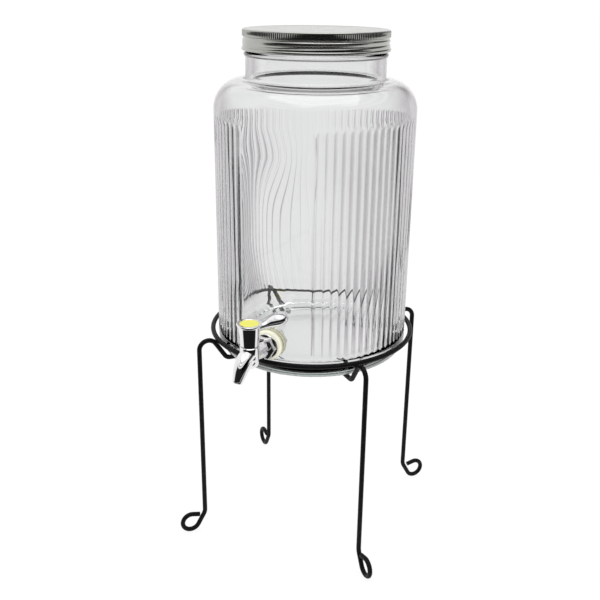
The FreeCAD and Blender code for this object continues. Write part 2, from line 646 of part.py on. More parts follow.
def tap_handle():
    """Turned hub with a flared rim and a moulded lever that swells into a paddle."""
    handle = new_body("tap_handle", **valve_frame(D.lever_turn))
    floor = D.hub_top - D.disc_depth
    screw_seat = floor - D.screw_recess
    hole = D.screw_radius + 0.1
    profile = new_sketch(handle, "profile", "XZ_Plane")
    draw(profile, [
        (hole, D.hub_bottom + 2), (D.hub_boss, D.hub_bottom + 2), (D.hub_boss, D.hub_web),
        (D.hub_cup, D.hub_web), (D.hub_cup, D.hub_bottom), (D.hub_radius, D.hub_bottom),
        (D.hub_shoulder, D.hub_top - 3), Bend(2.4, 1), (D.hub_rim, D.hub_top - 1), (D.hub_rim, D.hub_top),
        (D.disc_radius, D.hub_top), (D.disc_radius, floor), (D.screw_head + 0.2, floor),
        (D.screw_head + 0.2, screw_seat), (hole, screw_seat),
    ])
    revolve(handle, "hub", profile)

    reach = D.stem_radius + 0.02
    flat = D.stem_flat + 0.03
    half_flat = Size(math.sqrt(reach.value ** 2 - flat.value ** 2),
                     f"sqrt({reach.text} * {reach.text} - {flat.text} * {flat.text})")
    socket = new_sketch(handle, "socket", "XY_Plane", base=(0, 0, D.hub_bottom))
    draw(socket, [(flat, -half_flat), (flat, half_flat), Bend(reach, 1), (-reach, 0), Bend(reach, 1)])
    cut(handle, "Pocket", "stem_socket", socket, Length=D.stem_top - D.hub_bottom + 0.2, Reversed=True)

    # Sections along the lever: distance from the axis, half width, half thickness, height above the shank
    stations = [(8.0, 4.4, 3.5, 31.4), (15.0, 4.2, 3.3, 33.2), (21.5, 7.0, 4.2, 35.4),
                (28.0, 9.4, 5.0, 36.9), (33.5, 7.4, 4.3, 37.5), (36.8, 2.8, 1.9, 37.8)]
    sections = []
    for i, (out, half, thick, up) in enumerate(stations):
        ring = new_sketch(handle, f"lever_{i}", "YZ_Plane", base=(0, up, out))
        end = half - thick
        side = Bend(thick * 1.02, 1)
        sections.append(draw(ring, [(-end, -thick), (end, -thick), side, (end, thick), (-end, thick), side]))
    add(handle, "AdditiveLoft", "lever", sections[0], Sections=sections[1:])


def handle_screw():
    screw = new_body("handle_screw", **valve_frame(0))
    seat = D.hub_top - D.disc_depth - D.screw_recess
    thread = D.screw_radius - D.plug_play
    head = D.screw_head
    crown = Size(1.0, "1.0")
    dome = (head * head + crown * crown) / (2 * crown)
    profile = new_sketch(screw, "profile", "XZ_Plane")
    draw(profile, [
        (0, seat - D.screw_length), (thread, seat - D.screw_length), (thread, seat), (head, seat),
        (head, seat + 1), Bend(dome, 1), (0, seat + 1 + crown),
    ])
    revolve(screw, "screw", profile)


def indicator_disc():
    disc = new_body("indicator_disc", **valve_frame(0))
    floor = D.hub_top - D.disc_depth
    edge = D.disc_radius - D.plug_play
    soft = D.disc_depth / 4
    profile = new_sketch(disc, "profile", "XZ_Plane")
    draw(profile, [(0, floor), (edge, floor), (edge, D.hub_top - 2 * soft), Bend(soft, 1),
                   (edge - soft, D.hub_top - soft), (0, D.hub_top - soft)])
    revolve(disc, "disc", profile)


stand_ring()
for quarter, label in enumerate(("leg_back_right", "leg_back_left", "leg_front_left", "leg_front_right")):
    stand_leg(label, quarter)
glass_jar()
lid_shell()
lid_liner()
tap_body()
washer("outer_washer", Size(0.0, "0"), D.outer_washer_width)
washer("inner_washer", -(glass_at_tap() + D.inner_washer_width), D.inner_washer_width)
lock_nut()
bonnet_ring()
valve_plug()
sealing_ring("lower_seal_ring", -D.seal_low)
sealing_ring("upper_seal_ring", D.seal_high)
tap_handle()
handle_screw()
indicator_disc()
doc.recompute()

failed = [thing.Label for thing in doc.Objects if "Invalid" in thing.State or "Error" in thing.State]
for body in bodies:
    if body.Shape.isNull() or not body.Shape.isValid():
        failed.append(body.Label)
if failed:
    raise RuntimeError(f"these failed: {failed}")

os.makedirs("parts", exist_ok=True)
for body in bodies:
    body.Shape.exportStep(f"parts/{body.Label}.step")
    print(f"{body.Label}: {len(body.Shape.Solids)} solid, {body.Shape.Volume / 1000:.2f} cm3")
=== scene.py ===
"""Dresses a fluted glass drink dispenser: stand, jar, screw lid and tap. Metres, +Z up."""
import json
import math

import bmesh
import bpy
from mathutils import Matrix, Vector

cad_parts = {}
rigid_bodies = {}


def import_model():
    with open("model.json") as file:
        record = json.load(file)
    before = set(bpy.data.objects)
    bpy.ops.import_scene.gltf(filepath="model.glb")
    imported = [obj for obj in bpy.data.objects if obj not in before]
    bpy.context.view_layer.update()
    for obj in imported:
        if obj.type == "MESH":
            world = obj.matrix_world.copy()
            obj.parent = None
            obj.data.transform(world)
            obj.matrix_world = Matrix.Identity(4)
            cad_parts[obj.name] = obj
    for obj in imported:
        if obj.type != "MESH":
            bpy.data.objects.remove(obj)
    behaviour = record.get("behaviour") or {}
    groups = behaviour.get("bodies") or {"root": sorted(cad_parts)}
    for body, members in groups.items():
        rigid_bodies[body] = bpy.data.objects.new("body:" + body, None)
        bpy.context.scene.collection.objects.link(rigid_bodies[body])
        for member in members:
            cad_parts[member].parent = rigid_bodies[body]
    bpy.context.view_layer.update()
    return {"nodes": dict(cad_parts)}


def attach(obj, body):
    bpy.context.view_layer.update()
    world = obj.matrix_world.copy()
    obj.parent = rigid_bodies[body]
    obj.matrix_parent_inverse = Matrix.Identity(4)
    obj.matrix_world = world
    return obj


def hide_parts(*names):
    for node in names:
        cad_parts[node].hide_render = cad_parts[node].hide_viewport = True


for leftover in list(bpy.data.objects):
    bpy.data.objects.remove(leftover)
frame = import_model()

bl_info = {
    "name": "Fluted Glass Drink Dispenser",
    "version": (1, 0, 0),
    "blender": (4, 5, 0),
    "location": "View3D > Sidebar > Dispenser",
    "description": "Builds a reeded glass drink dispenser with a tap, on a wire stand",
    "category": "Add Mesh",
}

MM = 0.001
DOUBLE = 0.01 * MM  # points closer than this are one point
SAME = 1e-6  # ratios closer than this are the same
ORIGIN = Vector((0, 0, 0))
UP = Vector((0, 0, 1))
FORWARD = Vector((0, -1, 0))
THREAD_TURNS = 1.3
WHITE = (1, 1, 1, 1)
NYLON = (0.92, 0.92, 0.89)
GLASS_BODY = (0.71, 0.76, 0.74, 1)
GLASS_DENSITY = 12.0


def length(label, text, millimetres):
    return bpy.props.FloatProperty(name=label, description=text, default=millimetres * MM,
                                   unit="LENGTH", precision=5)


def angle(label, text, degrees):
    return bpy.props.FloatProperty(name=label, description=text, default=math.radians(degrees),
                                   unit="ROTATION")


def count(label, text, number):
    return bpy.props.IntProperty(name=label, description=text, default=number, min=1)


def colour(label, text, rgb):
    return bpy.props.FloatVectorProperty(name=label, description=text, default=rgb,
                                         subtype="COLOR", min=0, max=1)


class StandSizes(bpy.types.PropertyGroup):
    wire: length("Wire", "Radius of the round wire", 2.5)
    ring_radius: length("Ring radius", "Ring, to the middle of the wire", 106.2)
    ring_height: length("Ring height", "Ring above the floor, middle of the wire", 227.6)
    turn: angle("Turn", "How far the stand is turned from square with the tap", 4.0)
    leg_radius: length("Leg radius", "Jar axis to an upright leg", 127.0)
    leg_slope: angle("Slope", "Rise of the wire between its hook and its top bend", 57.0)
    top_bend: length("Top bend", "Bend over the top of a leg", 9.6)
    top_centre: length("Top centre", "Height of that bend's centre", 218.5)
    hook_height: length("Hook height", "Level run under the jar", 205.4)
    hook_end: length("Hook end", "Radius where the level run is cut off", 72.0)
    hook_bend: length("Hook bend", "Bend between the level run and the slope", 7.0)
    foot_slope: angle("Foot slope", "How steeply the wire runs out into the foot loop", 60.0)
    foot_bend: length("Foot bend", "Bend from the leg into that run", 12.0)
    loop_radius: length("Loop radius", "Foot loop, middle of the wire", 9.5)
    loop_centre: length("Loop centre", "Jar axis to the middle of the foot loop", 143.5)
    loop_close: angle("Loop close", "Angle at which the loop straightens out", 103.0)
    loop_tail: length("Loop tail", "Straight end of the loop", 8.0)
    paint: colour("Paint", "Black powder coat", (0.005, 0.005, 0.006))


class JarSizes(bpy.types.PropertyGroup):
    radius: length("Body radius", "Outside of the glass body", 100.0)
    wall: length("Wall", "Thickness of body and neck", 5.0)
    bottom: length("Bottom", "Foot of the jar above the floor", 208.2)
    heel: length("Heel", "Rounding between foot and body", 14.0)
    foot_inner: length("Foot ring", "Inner radius of the ring the jar stands on", 78.0)
    push_up: length("Push-up", "Hollow under the jar", 4.0)
    floor: length("Floor", "Glass thickness of the floor", 12.0)
    inner_heel: length("Inner heel", "Rounding inside between floor and wall", 12.0)
    shoulder: length("Shoulder height", "Top of the straight body", 459.0)
    neck: length("Neck radius", "Outside of the neck", 68.4)
    neck_fillet: length("Neck hollow", "Hollow between shoulder and neck", 3.0)
    bead_height: length("Bead height", "Bead round the neck below the lid", 510.5)
    bead_half: length("Bead", "Half the bead's height", 2.0)
    bead_proud: length("Bead stand-out", "How far the bead stands out", 1.5)
    finish: length("Finish radius", "Neck inside the lid, without its thread", 67.0)
    rim: length("Rim height", "Top of the glass", 531.3)
    rim_round: length("Rim rounding", "Rounding of the rim", 1.6)
    thread_low: length("Thread start", "Height where the thread on the finish begins", 517.2)
    thread_proud: length("Thread", "How far that thread stands out", 1.0)
    reeds: count("Reeds", "Convex reeds round the body", 70)
    pitch: angle("Reed pitch", "Angle from one reed to the next", 4.5)
    panel_turn: angle("Panel turn", "Middle of the plain panel, round from the tap", 2.5)
    reed_bottom: length("Reed bottom", "Where the reeds begin", 230.0)
    reed_top: length("Reed top", "Where the reeds have run out again", 454.0)
    run_out: length("Run-out", "Length of the run-out at each end", 7.0)
    crest: length("Crest", "Radius of the reeds' crests", 99.9)
    valley: length("Valley", "Radius where two reeds meet", 98.9)
    trough: length("Trough", "Bottom of the trough that the reeds fill", 98.6)
    tint: colour("Tint", "Faint grey-green of the glass", (0.972, 0.975, 0.975))


class LidSizes(bpy.types.PropertyGroup):
    radius: length("Radius", "Outside of the knurled band", 71.2)
    top: length("Top", "Top of the lid", 533.5)
    bottom: length("Bottom", "Lower end of the rolled edge", 513.7)
    sheet: length("Sheet", "Sheet thickness", 0.6)
    corner: length("Corner", "Outer rounding of the top edge", 2.0)
    knurl_end: length("Knurl end", "Lower end of the knurled band", 527.2)
    groove: length("Groove", "Depth of the groove below the knurled band", 1.1)
    curl: length("Curl", "Radius of the rolled lower edge", 1.7)
    knurls: count("Knurls", "Knurls round the top edge", 208)
    knurl_depth: length("Knurl depth", "Depth of the knurls", 0.45)
    thread_pitch: length("Thread pitch", "Rise of the rolled thread in one turn", 6.35)
    thread_start: angle("Thread start", "Where the rolled thread begins, round the lid", 232.0)
    thread_depth: length("Thread depth", "How far the rolled thread is pressed in", 0.9)
    metal: colour("Metal", "Satin silver lacquer", (0.46, 0.46, 0.435))


class TapSizes(bpy.types.PropertyGroup):
    height: length("Height", "Middle of the tap's shank", 244.5)
    seat: length("Seat", "Jar axis to the outer seat", 100.4)
    seat_inside: length("Inner seat", "Jar axis to the inner seat", 93.5)
    seat_radius: length("Seat radius", "Flat round seats that the washers press on", 15.5)
    hole: length("Hole", "Radius of the hole in the glass", 8.6)
    shank: length("Shank", "Radius of the shank", 8.0)
    shank_inside: length("Shank inside", "Shank length inwards from the outer seat", 20.0)
    bore: length("Water way", "Radius of the water way", 4.0)
    washer: length("Washer", "Radius of both sealing washers", 15.0)
    washer_hole: length("Washer hole", "Radius of their holes", 8.1)
    outer_washer: length("Outer washer", "Thickness of the washer outside the glass", 4.5)
    inner_washer: length("Inner washer", "Thickness of the washer inside the glass", 3.0)
    nut_across: length("Nut", "Lock nut across flats", 22.0)
    nut_width: length("Nut width", "Lock nut along the shank", 7.0)
    flange: length("Flange", "Radius of the flange on the outer washer", 12.6)
    flange_width: length("Flange width", "Thickness of that flange", 2.6)
    hex_across: length("Hexagon", "Hexagon in front of the flange, across flats", 21.0)
    hex_width: length("Hexagon width", "Length of that hexagon", 6.0)
    barrel: length("Barrel", "Radius of the tube to the valve", 8.2)
    reach: length("Reach", "Outer seat to the valve axis", 39.0)
    valve: length("Valve", "Radius of the upright valve housing", 9.3)
    valve_top: length("Valve top", "Top of the housing above the shank", 14.0)
    valve_bottom: length("Valve bottom", "Bottom of the housing below the shank", 9.0)
    chamber: length("Chamber", "Radius of the bore for the plug", 6.0)
    hub_bottom: length("Hub bottom", "Lower rim of the handle above the shank", 14.5)
    hub_top: length("Hub top", "Top of the handle's rim above the shank", 36.5)
    hub: length("Hub", "Radius of the handle at its lower rim", 9.0)
    hub_shoulder: length("Hub shoulder", "Radius below the flared rim", 10.2)
    hub_rim: length("Hub rim", "Radius of the flared rim", 12.2)
    disc: length("Disc", "Radius of the recess for the disc on top", 9.1)
    disc_depth: length("Disc depth", "Depth of that recess", 1.4)
    lever_turn: angle("Lever turn", "Lever when shut, from +X towards the jar", 45.0)
    chrome: colour("Chrome", "Bright plated metal", (0.90, 0.89, 0.90))
    silicone: colour("Silicone", "Cream washers", (0.95, 0.93, 0.76))
    yellow: colour("Yellow", "Plain disc on the handle", (0.93, 0.90, 0.16))


class StudioSizes(bpy.types.PropertyGroup):
    camera_azimuth: angle("Camera azimuth", "Camera's place, from the tap's side to +X", 24.213)
    camera_distance: length("Camera distance", "Jar axis to the camera, level", 827.343)
    camera_height: length("Camera height", "Camera above the floor", 574.327)
    heading: angle("Heading", "Where the camera looks, from +Y towards -X", 25.098)
    pitch: angle("Pitch", "How far the camera looks down", 21.054)
    roll: angle("Roll", "How far the camera is tilted", 0.669)
    lens: bpy.props.FloatProperty(name="Lens", description="Focal length in millimetres",
                                  default=49.484, unit="CAMERA")


def plane_point(azimuth, radius, height):
    return Vector((radius * math.cos(azimuth), radius * math.sin(azimuth), height))


def arc(centre, radius, start, end, steps):
    """Points round an arc in the (radius, height) plane, from one angle in degrees to another."""
    turn = [math.radians(start + (end - start) * i / steps) for i in range(steps + 1)]
    return [(centre[0] + radius * math.cos(a), centre[1] + radius * math.sin(a)) for a in turn]


def between(start, end, steps):
    """Evenly spaced values from start to end."""
    return [start + (end - start) * i / steps for i in range(steps + 1)]


def smooth_between(stations, steps):
    """Stations with smooth ones put in between, by a curve through them."""
    result = []
    last = len(stations) - 1
    for i in range(last):
        four = [stations[min(max(k, 0), last)] for k in range(i - 1, i + 3)]
        for t in between(0, 1, steps)[:-1]:
            weights = ((-t + 2 * t * t - t ** 3) / 2, (2 - 5 * t * t + 3 * t ** 3) / 2,
                       (t + 4 * t * t - 3 * t ** 3) / 2, (-t * t + t ** 3) / 2)
            result.append(tuple(sum(w * v for w, v in zip(weights, part)) for part in zip(*four)))
    return result + [tuple(stations[-1])]


def beside_plane(azimuth, near, low=-math.inf, high=math.inf, least=-MM):
    """Test for points close to an upright half plane, between two heights, past a radius."""
    side, across = plane_point(azimuth, 1, 0), plane_point(azimuth + math.pi / 2, 1, 0)
    return lambda point: (low < point.z < high and point.dot(side) > least
                          and abs(point.dot(across)) < near)


def leave_edit():
    if bpy.context.mode != "OBJECT":
        bpy.ops.object.mode_set(mode="OBJECT")


def deselect_all():
    leave_edit()
    bpy.ops.object.select_all(action="DESELECT")


def only(piece):
    """Make one object the selected and the active one."""
    deselect_all()
    piece.select_set(True)
    bpy.context.view_layer.objects.active = piece


def settle(piece):
    """Put an object's place and turn into its mesh."""
    only(piece)
    bpy.ops.object.transform_apply()
    return piece


def named(name):
    """The primitive just added, with its name, settled."""
    piece = bpy.context.object
    piece.name = piece.data.name = name
    return settle(piece)


def select_whole():
    bpy.ops.mesh.select_all(action="SELECT")


def edit(piece):
    """Open one piece in edit mode with all of it selected."""
    only(piece)
    bpy.ops.object.mode_set(mode="EDIT")
    bpy.ops.mesh.select_mode(type="VERT")
    select_whole()


def select_points(piece, test, among=None):
    """In edit mode, select just the points that pass a test, of all or of some numbers."""
    mesh = bmesh.from_edit_mesh(piece.data)
    mesh.verts.index_update()
    for point in mesh.verts:
        point.select = (among is None or point.index in among) and bool(test(point.co))
    mesh.select_flush_mode()
    bmesh.update_edit_mesh(piece.data)


def extrude(move=ORIGIN):
    bpy.ops.mesh.extrude_region_move(TRANSFORM_OT_translate={"value": move})


def spin(turn, steps, centre=ORIGIN, axis=UP, copies=False):
    """Spin what is selected by the right-hand rule."""
    bpy.ops.mesh.spin(steps=steps, angle=-turn, center=centre, axis=axis, dupli=copies)


def scale_points(ratio, centre):
    bpy.ops.transform.resize(value=ratio, center_override=centre, orient_type="GLOBAL")


def close_up(piece):
    """Merge doubles, turn the faces outwards and leave edit mode."""
    select_whole()
    bpy.ops.mesh.remove_doubles(threshold=DOUBLE)
    select_whole()
    bpy.ops.mesh.normals_make_consistent(inside=False)
    leave_edit()
    return piece


def draw_outline(name, points):
    """One point, drawn out from corner to corner into an open outline."""
    deselect_all()
    bpy.ops.mesh.primitive_plane_add(size=MM, location=points[0])
    piece = named(name)
    edit(piece)
    bpy.ops.mesh.merge(type="CENTER")
    for here, after in zip(points, points[1:]):
        extrude(after - here)
    select_whole()
    return piece


def circle(name, sides, radius, centre=ORIGIN, turn=(math.pi / 2, 0, 0)):
    """A ring of points, open in edit mode."""
    deselect_all()
    bpy.ops.mesh.primitive_circle_add(vertices=sides, radius=radius, location=centre, rotation=turn)
    piece = named(name)
    edit(piece)
    return piece


def lathe(name, outline, steps, centre=ORIGIN, axis=UP):
    """Spin an outline of (radius, height) pairs about an axis through a centre."""
    points = [centre + Vector((radius, 0, 0)) + axis * height for radius, height in outline]
    piece = draw_outline(name, points)
    spin(math.tau, steps, centre, axis)
    return close_up(piece)


def apply_modifier(piece, kind, **settings):
    only(piece)
    bpy.ops.object.modifier_add(type=kind)
    modifier = piece.modifiers[-1]
    for setting, amount in settings.items():
        setattr(modifier, setting, amount)
    bpy.ops.object.modifier_apply(modifier=modifier.name)


def combine(piece, other, operation):
    """Add another solid to a piece, or take it away, and drop the other."""
    apply_modifier(piece, "BOOLEAN", operation=operation, object=other, solver="EXACT")
    bpy.data.objects.remove(other)


def rod(name, radius, start, end, sides=48):
    """A plain round tool for cutting and joining, between two points."""
    along = end - start
    deselect_all()
    bpy.ops.mesh.primitive_cylinder_add(vertices=sides, radius=radius, depth=along.length,
                                        location=(start + end) / 2,
                                        rotation=along.to_track_quat("Z", "Y").to_euler())
    return named(name)


def hexagon(name, across, start, width, bevel):
    """Hexagon on the tap's axis with bevelled corners, two of its flats level."""
    deselect_all()
    bpy.ops.mesh.primitive_cylinder_add(vertices=6, radius=across / math.sqrt(3), depth=width,
                                        location=start + FORWARD * width / 2,
                                        rotation=(math.pi / 2, math.pi / 6, 0))
    piece = named(name)
    edit(piece)
    bpy.ops.mesh.bevel(offset=bevel, segments=3, affect="EDGES")
    return close_up(piece)


def loft(name, rings, sides):
    """Rings extruded one after another: each a centre, a width, a height and a lean about X."""
    def lean_by(turn, centre):
        bpy.ops.transform.rotate(value=turn, orient_axis="X", center_override=centre,
                                 orient_type="GLOBAL")

    centre, width, height, lean = rings[0]
    piece = circle(name, sides, 1.0)
    scale_points((width, 1, height), ORIGIN)
    bpy.ops.transform.translate(value=centre)
    lean_by(-lean, centre)
    bpy.ops.mesh.edge_face_add()
    for there, wider, higher, leaning in rings[1:]:
        extrude(there - centre)
        lean_by(lean, there)
        scale_points((wider / width, 1, higher / height), there)
        lean_by(-leaning, there)
        centre, width, height, lean = there, wider, higher, leaning
    return close_up(piece)


def finish_piece(piece, body, slot, material, *nodes, sharp=35):
    """Smooth shading, material, body and the CAD nodes that the piece stands for; the slot is not
    used.
    """
    only(piece)
    bpy.ops.object.shade_smooth_by_angle(angle=math.radians(sharp))
    piece.data.materials.clear()
    piece.data.materials.append(material)
    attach(piece, body)
    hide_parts(*nodes)


def feed(tree, socket, value):
    """Link a socket to another node's output, or set it to a plain value."""
    if isinstance(value, bpy.types.NodeSocket):
        tree.links.new(value, socket)
    else:
        socket.default_value = value


def add_node(tree, kind, inputs=None, **settings):
    """A shader node with its settings made and its inputs fed, by name or number."""
    node = tree.nodes.new(f"ShaderNode{kind}")
    for setting, value in settings.items():
        setattr(node, setting, value)
    for label, value in (inputs or {}).items():
        feed(tree, node.inputs[label], value)
    return node


def math_node(tree, operation, *values):
    """A calculation on sockets and plain numbers."""
    return add_node(tree, "Math", dict(enumerate(values)), operation=operation).outputs["Value"]


def map_range(tree, value, start, end, low=0.0, high=1.0):
    """A value moved from one range to another, held at its ends."""
    inputs = {"Value": value, "From Min": start, "From Max": end, "To Min": low, "To Max": high}
    return add_node(tree, "MapRange", inputs).outputs["Result"]


def mix_colours(tree, mask, dark, light):
    """A colour between two colours, as far along as a mask says."""
    inputs = {"Factor": mask, "A": dark, "B": light}
    return add_node(tree, "Mix", inputs, data_type="RGBA").outputs["Result"]


def new_group(name, inputs, outputs):
    """Shader node group with named sockets; gives the group, what it is given and its results."""
    group = bpy.data.node_groups.new(name, "ShaderNodeTree")
    for label, value in inputs.items():
        kind = "NodeSocketVector" if isinstance(value, tuple) else "NodeSocketFloat"
        socket = group.interface.new_socket(label, in_out="INPUT", socket_type=kind)
        socket.default_value = value
    for label in outputs:
        group.interface.new_socket(label, in_out="OUTPUT", socket_type="NodeSocketFloat")
    given, result = group.nodes.new("NodeGroupInput"), group.nodes.new("NodeGroupOutput")
    return group, given.outputs, result.inputs


def grain_group():
    """Fine grain over larger clouds: a height for bump and a mask for roughness and colour."""
    name = "Fine grain"
    if name in bpy.data.node_groups:
        return bpy.data.node_groups[name]
    group, given, result = new_group(name, {"Grain scale": 900.0, "Cloud scale": 40.0,
                                            "Grain detail": 3.0, "Cloud detail": 4.0},
                                     ("Height", "Clouds"))
    coords = add_node(group, "TexCoord")
    for source, target in (("Grain", "Height"), ("Cloud", "Clouds")):
        noise = add_node(group, "TexNoise", {"Vector": coords.outputs["Object"],
                                             "Scale": given[f"{source} scale"],
                                             "Detail": given[f"{source} detail"]})
        feed(group, result[target], noise.outputs["Fac"])
    return group


def marks_group():
    """Faint handling marks: thin streaks along one axis, as a mask."""
    name = "Handling marks"
    if name in bpy.data.node_groups:
        return bpy.data.node_groups[name]
    group, given, result = new_group(name, {"Stretch": (1.0, 1.0, 1.0), "Scale": 120.0}, ("Mask",))
    coords = add_node(group, "TexCoord")
    stretch = add_node(group, "VectorMath", {0: coords.outputs["Object"], 1: given["Stretch"]},
                       operation="MULTIPLY")
    noise = add_node(group, "TexNoise", {"Vector": stretch.outputs[0], "Scale": given["Scale"],
                                         "Detail": 6.0})
    feed(group, result["Mask"], map_range(group, noise.outputs["Fac"], 0.52, 0.72))
    return group


def shade(rgb, factor):
    return tuple(min(1.0, part * factor) for part in rgb)


class Finish:
    """A material under construction: its nodes, its Principled shader and the usual links."""

    def __init__(self, name, **values):
        self.material = bpy.data.materials.new(name)
        self.material.use_nodes = True
        self.tree = self.material.node_tree
        self.shader = self.tree.nodes["Principled BSDF"].inputs
        for label, value in values.items():
            label = label.replace("_", " ").title().replace("Ior", "IOR")
            self.shader[label].default_value = value

    def group(self, group, **values):
        """A node group with values by name; gives its outputs."""
        inputs = {label.replace("_", " ").capitalize(): value for label, value in values.items()}
        return add_node(self.tree, "Group", inputs, node_tree=group).outputs

    def tone(self, mask, rgb, darker, lighter):
        """Let a mask move the base colour between two shades."""
        dark, light = (*shade(rgb, darker), 1), (*shade(rgb, lighter), 1)
        feed(self.tree, self.shader["Base Color"], mix_colours(self.tree, mask, dark, light))

    def rough(self, mask, low, high):
        """Let a mask move the roughness between two numbers."""
        feed(self.tree, self.shader["Roughness"], map_range(self.tree, mask, 0.0, 1.0, low, high))

    def bump(self, height, distance, strength):
        inputs = {"Height": height, "Distance": distance, "Strength": strength}
        bump = add_node(self.tree, "Bump", inputs)
        feed(self.tree, self.shader["Normal"], bump.outputs["Normal"])


def wire_finish(paint):
    """Black powder coat: near black, satin, with a fine orange-peel skin."""
    finish = Finish("Black powder coat", specular_ior_level=0.1)
    grain = finish.group(grain_group(), Grain_scale=1400.0, Cloud_scale=60.0)
    marks = finish.group(marks_group(), Scale=160.0)
    finish.tone(marks["Mask"], paint, 1.0, 2.2)
    finish.rough(grain["Clouds"], 0.34, 0.52)
    finish.bump(grain["Height"], 0.12 * MM, 0.5)
    return finish.material


def glass_finish(tint, middle, low, high):
    """Clear pressed glass, grey-green in its thickness, wavy inside its straight wall."""
    finish = Finish("Clear pressed glass", roughness=0.0, ior=1.5, transmission_weight=1.0)
    tree = finish.tree
    waves = finish.group(grain_group(), Grain_scale=11.0, Grain_detail=0.0, Cloud_scale=5.0)
    finish.tone(waves["Clouds"], tint, 0.985, 1.0)
    coords = add_node(tree, "TexCoord")
    x, y, z = add_node(tree, "SeparateXYZ", {"Vector": coords.outputs["Object"]}).outputs
    square = math_node(tree, "MULTIPLY_ADD", x, x, math_node(tree, "MULTIPLY", y, y))
    reach = math_node(tree, "SQRT", square)
    # Edges of the wavy part: what is measured, where the glass is plain, where fully wavy
    edges = ((reach, middle + 0.5 * MM, middle - 1.0 * MM), (z, low + 25 * MM, low + 70 * MM),
             (z, high - 6 * MM, high - 34 * MM))
    strength = 1.0
    for value, plain, wavy in edges:
        strength = math_node(tree, "MULTIPLY", strength, map_range(tree, value, plain, wavy))
    finish.bump(waves["Height"], 18.0 * MM, strength)
    absorb = add_node(tree, "VolumeAbsorption", {"Color": GLASS_BODY, "Density": GLASS_DENSITY})
    feed(tree, tree.nodes["Material Output"].inputs["Volume"], absorb.outputs["Volume"])
    return finish.material


def lid_finish(metal):
    """Satin silver lacquer on tinplate with a few rubbed streaks."""
    finish = Finish("Satin silver lacquer", metallic=1.0)
    grain = finish.group(grain_group(), Grain_scale=1800.0, Cloud_scale=45.0)
    marks = finish.group(marks_group(), Stretch=(1.0, 1.0, 6.0), Scale=70.0)
    finish.tone(grain["Clouds"], metal, 0.94, 1.04)
    finish.rough(marks["Mask"], 0.2, 0.3)
    finish.bump(grain["Height"], 0.03 * MM, 0.35)
    return finish.material


def chrome_finish(name, metal):
    """Bright plating with a trace of haze and fine rubbing."""
    finish = Finish(name, metallic=1.0)
    grain = finish.group(grain_group(), Grain_scale=700.0, Cloud_scale=60.0)
    marks = finish.group(marks_group(), Stretch=(1.0, 1.0, 3.0), Scale=180.0)
    finish.tone(grain["Clouds"], metal, 0.97, 1.02)
    finish.rough(marks["Mask"], 0.03, 0.09)
    finish.bump(grain["Height"], 0.02 * MM, 0.2)
    return finish.material


def soft_finish(name, tone, rough, **scatter_and_painted_glow):
    """Moulded rubber or plastic: slight clouding, fine skin and, for silicone, light scattered
    inside it and a painted glow that lightens it.
    """
    finish = Finish(name, **scatter_and_painted_glow)
    grain = finish.group(grain_group(), Grain_scale=1100.0, Cloud_scale=90.0)
    finish.tone(grain["Clouds"], tone, 0.92, 1.05)
    finish.rough(grain["Clouds"], rough * 0.85, rough * 1.15)
    finish.bump(grain["Height"], 0.06 * MM, 0.4)
    return finish.material


def made_once(name, make, *settings):
    """A finish that more than one operator uses."""
    return bpy.data.materials.get(name) or make(name, *settings)


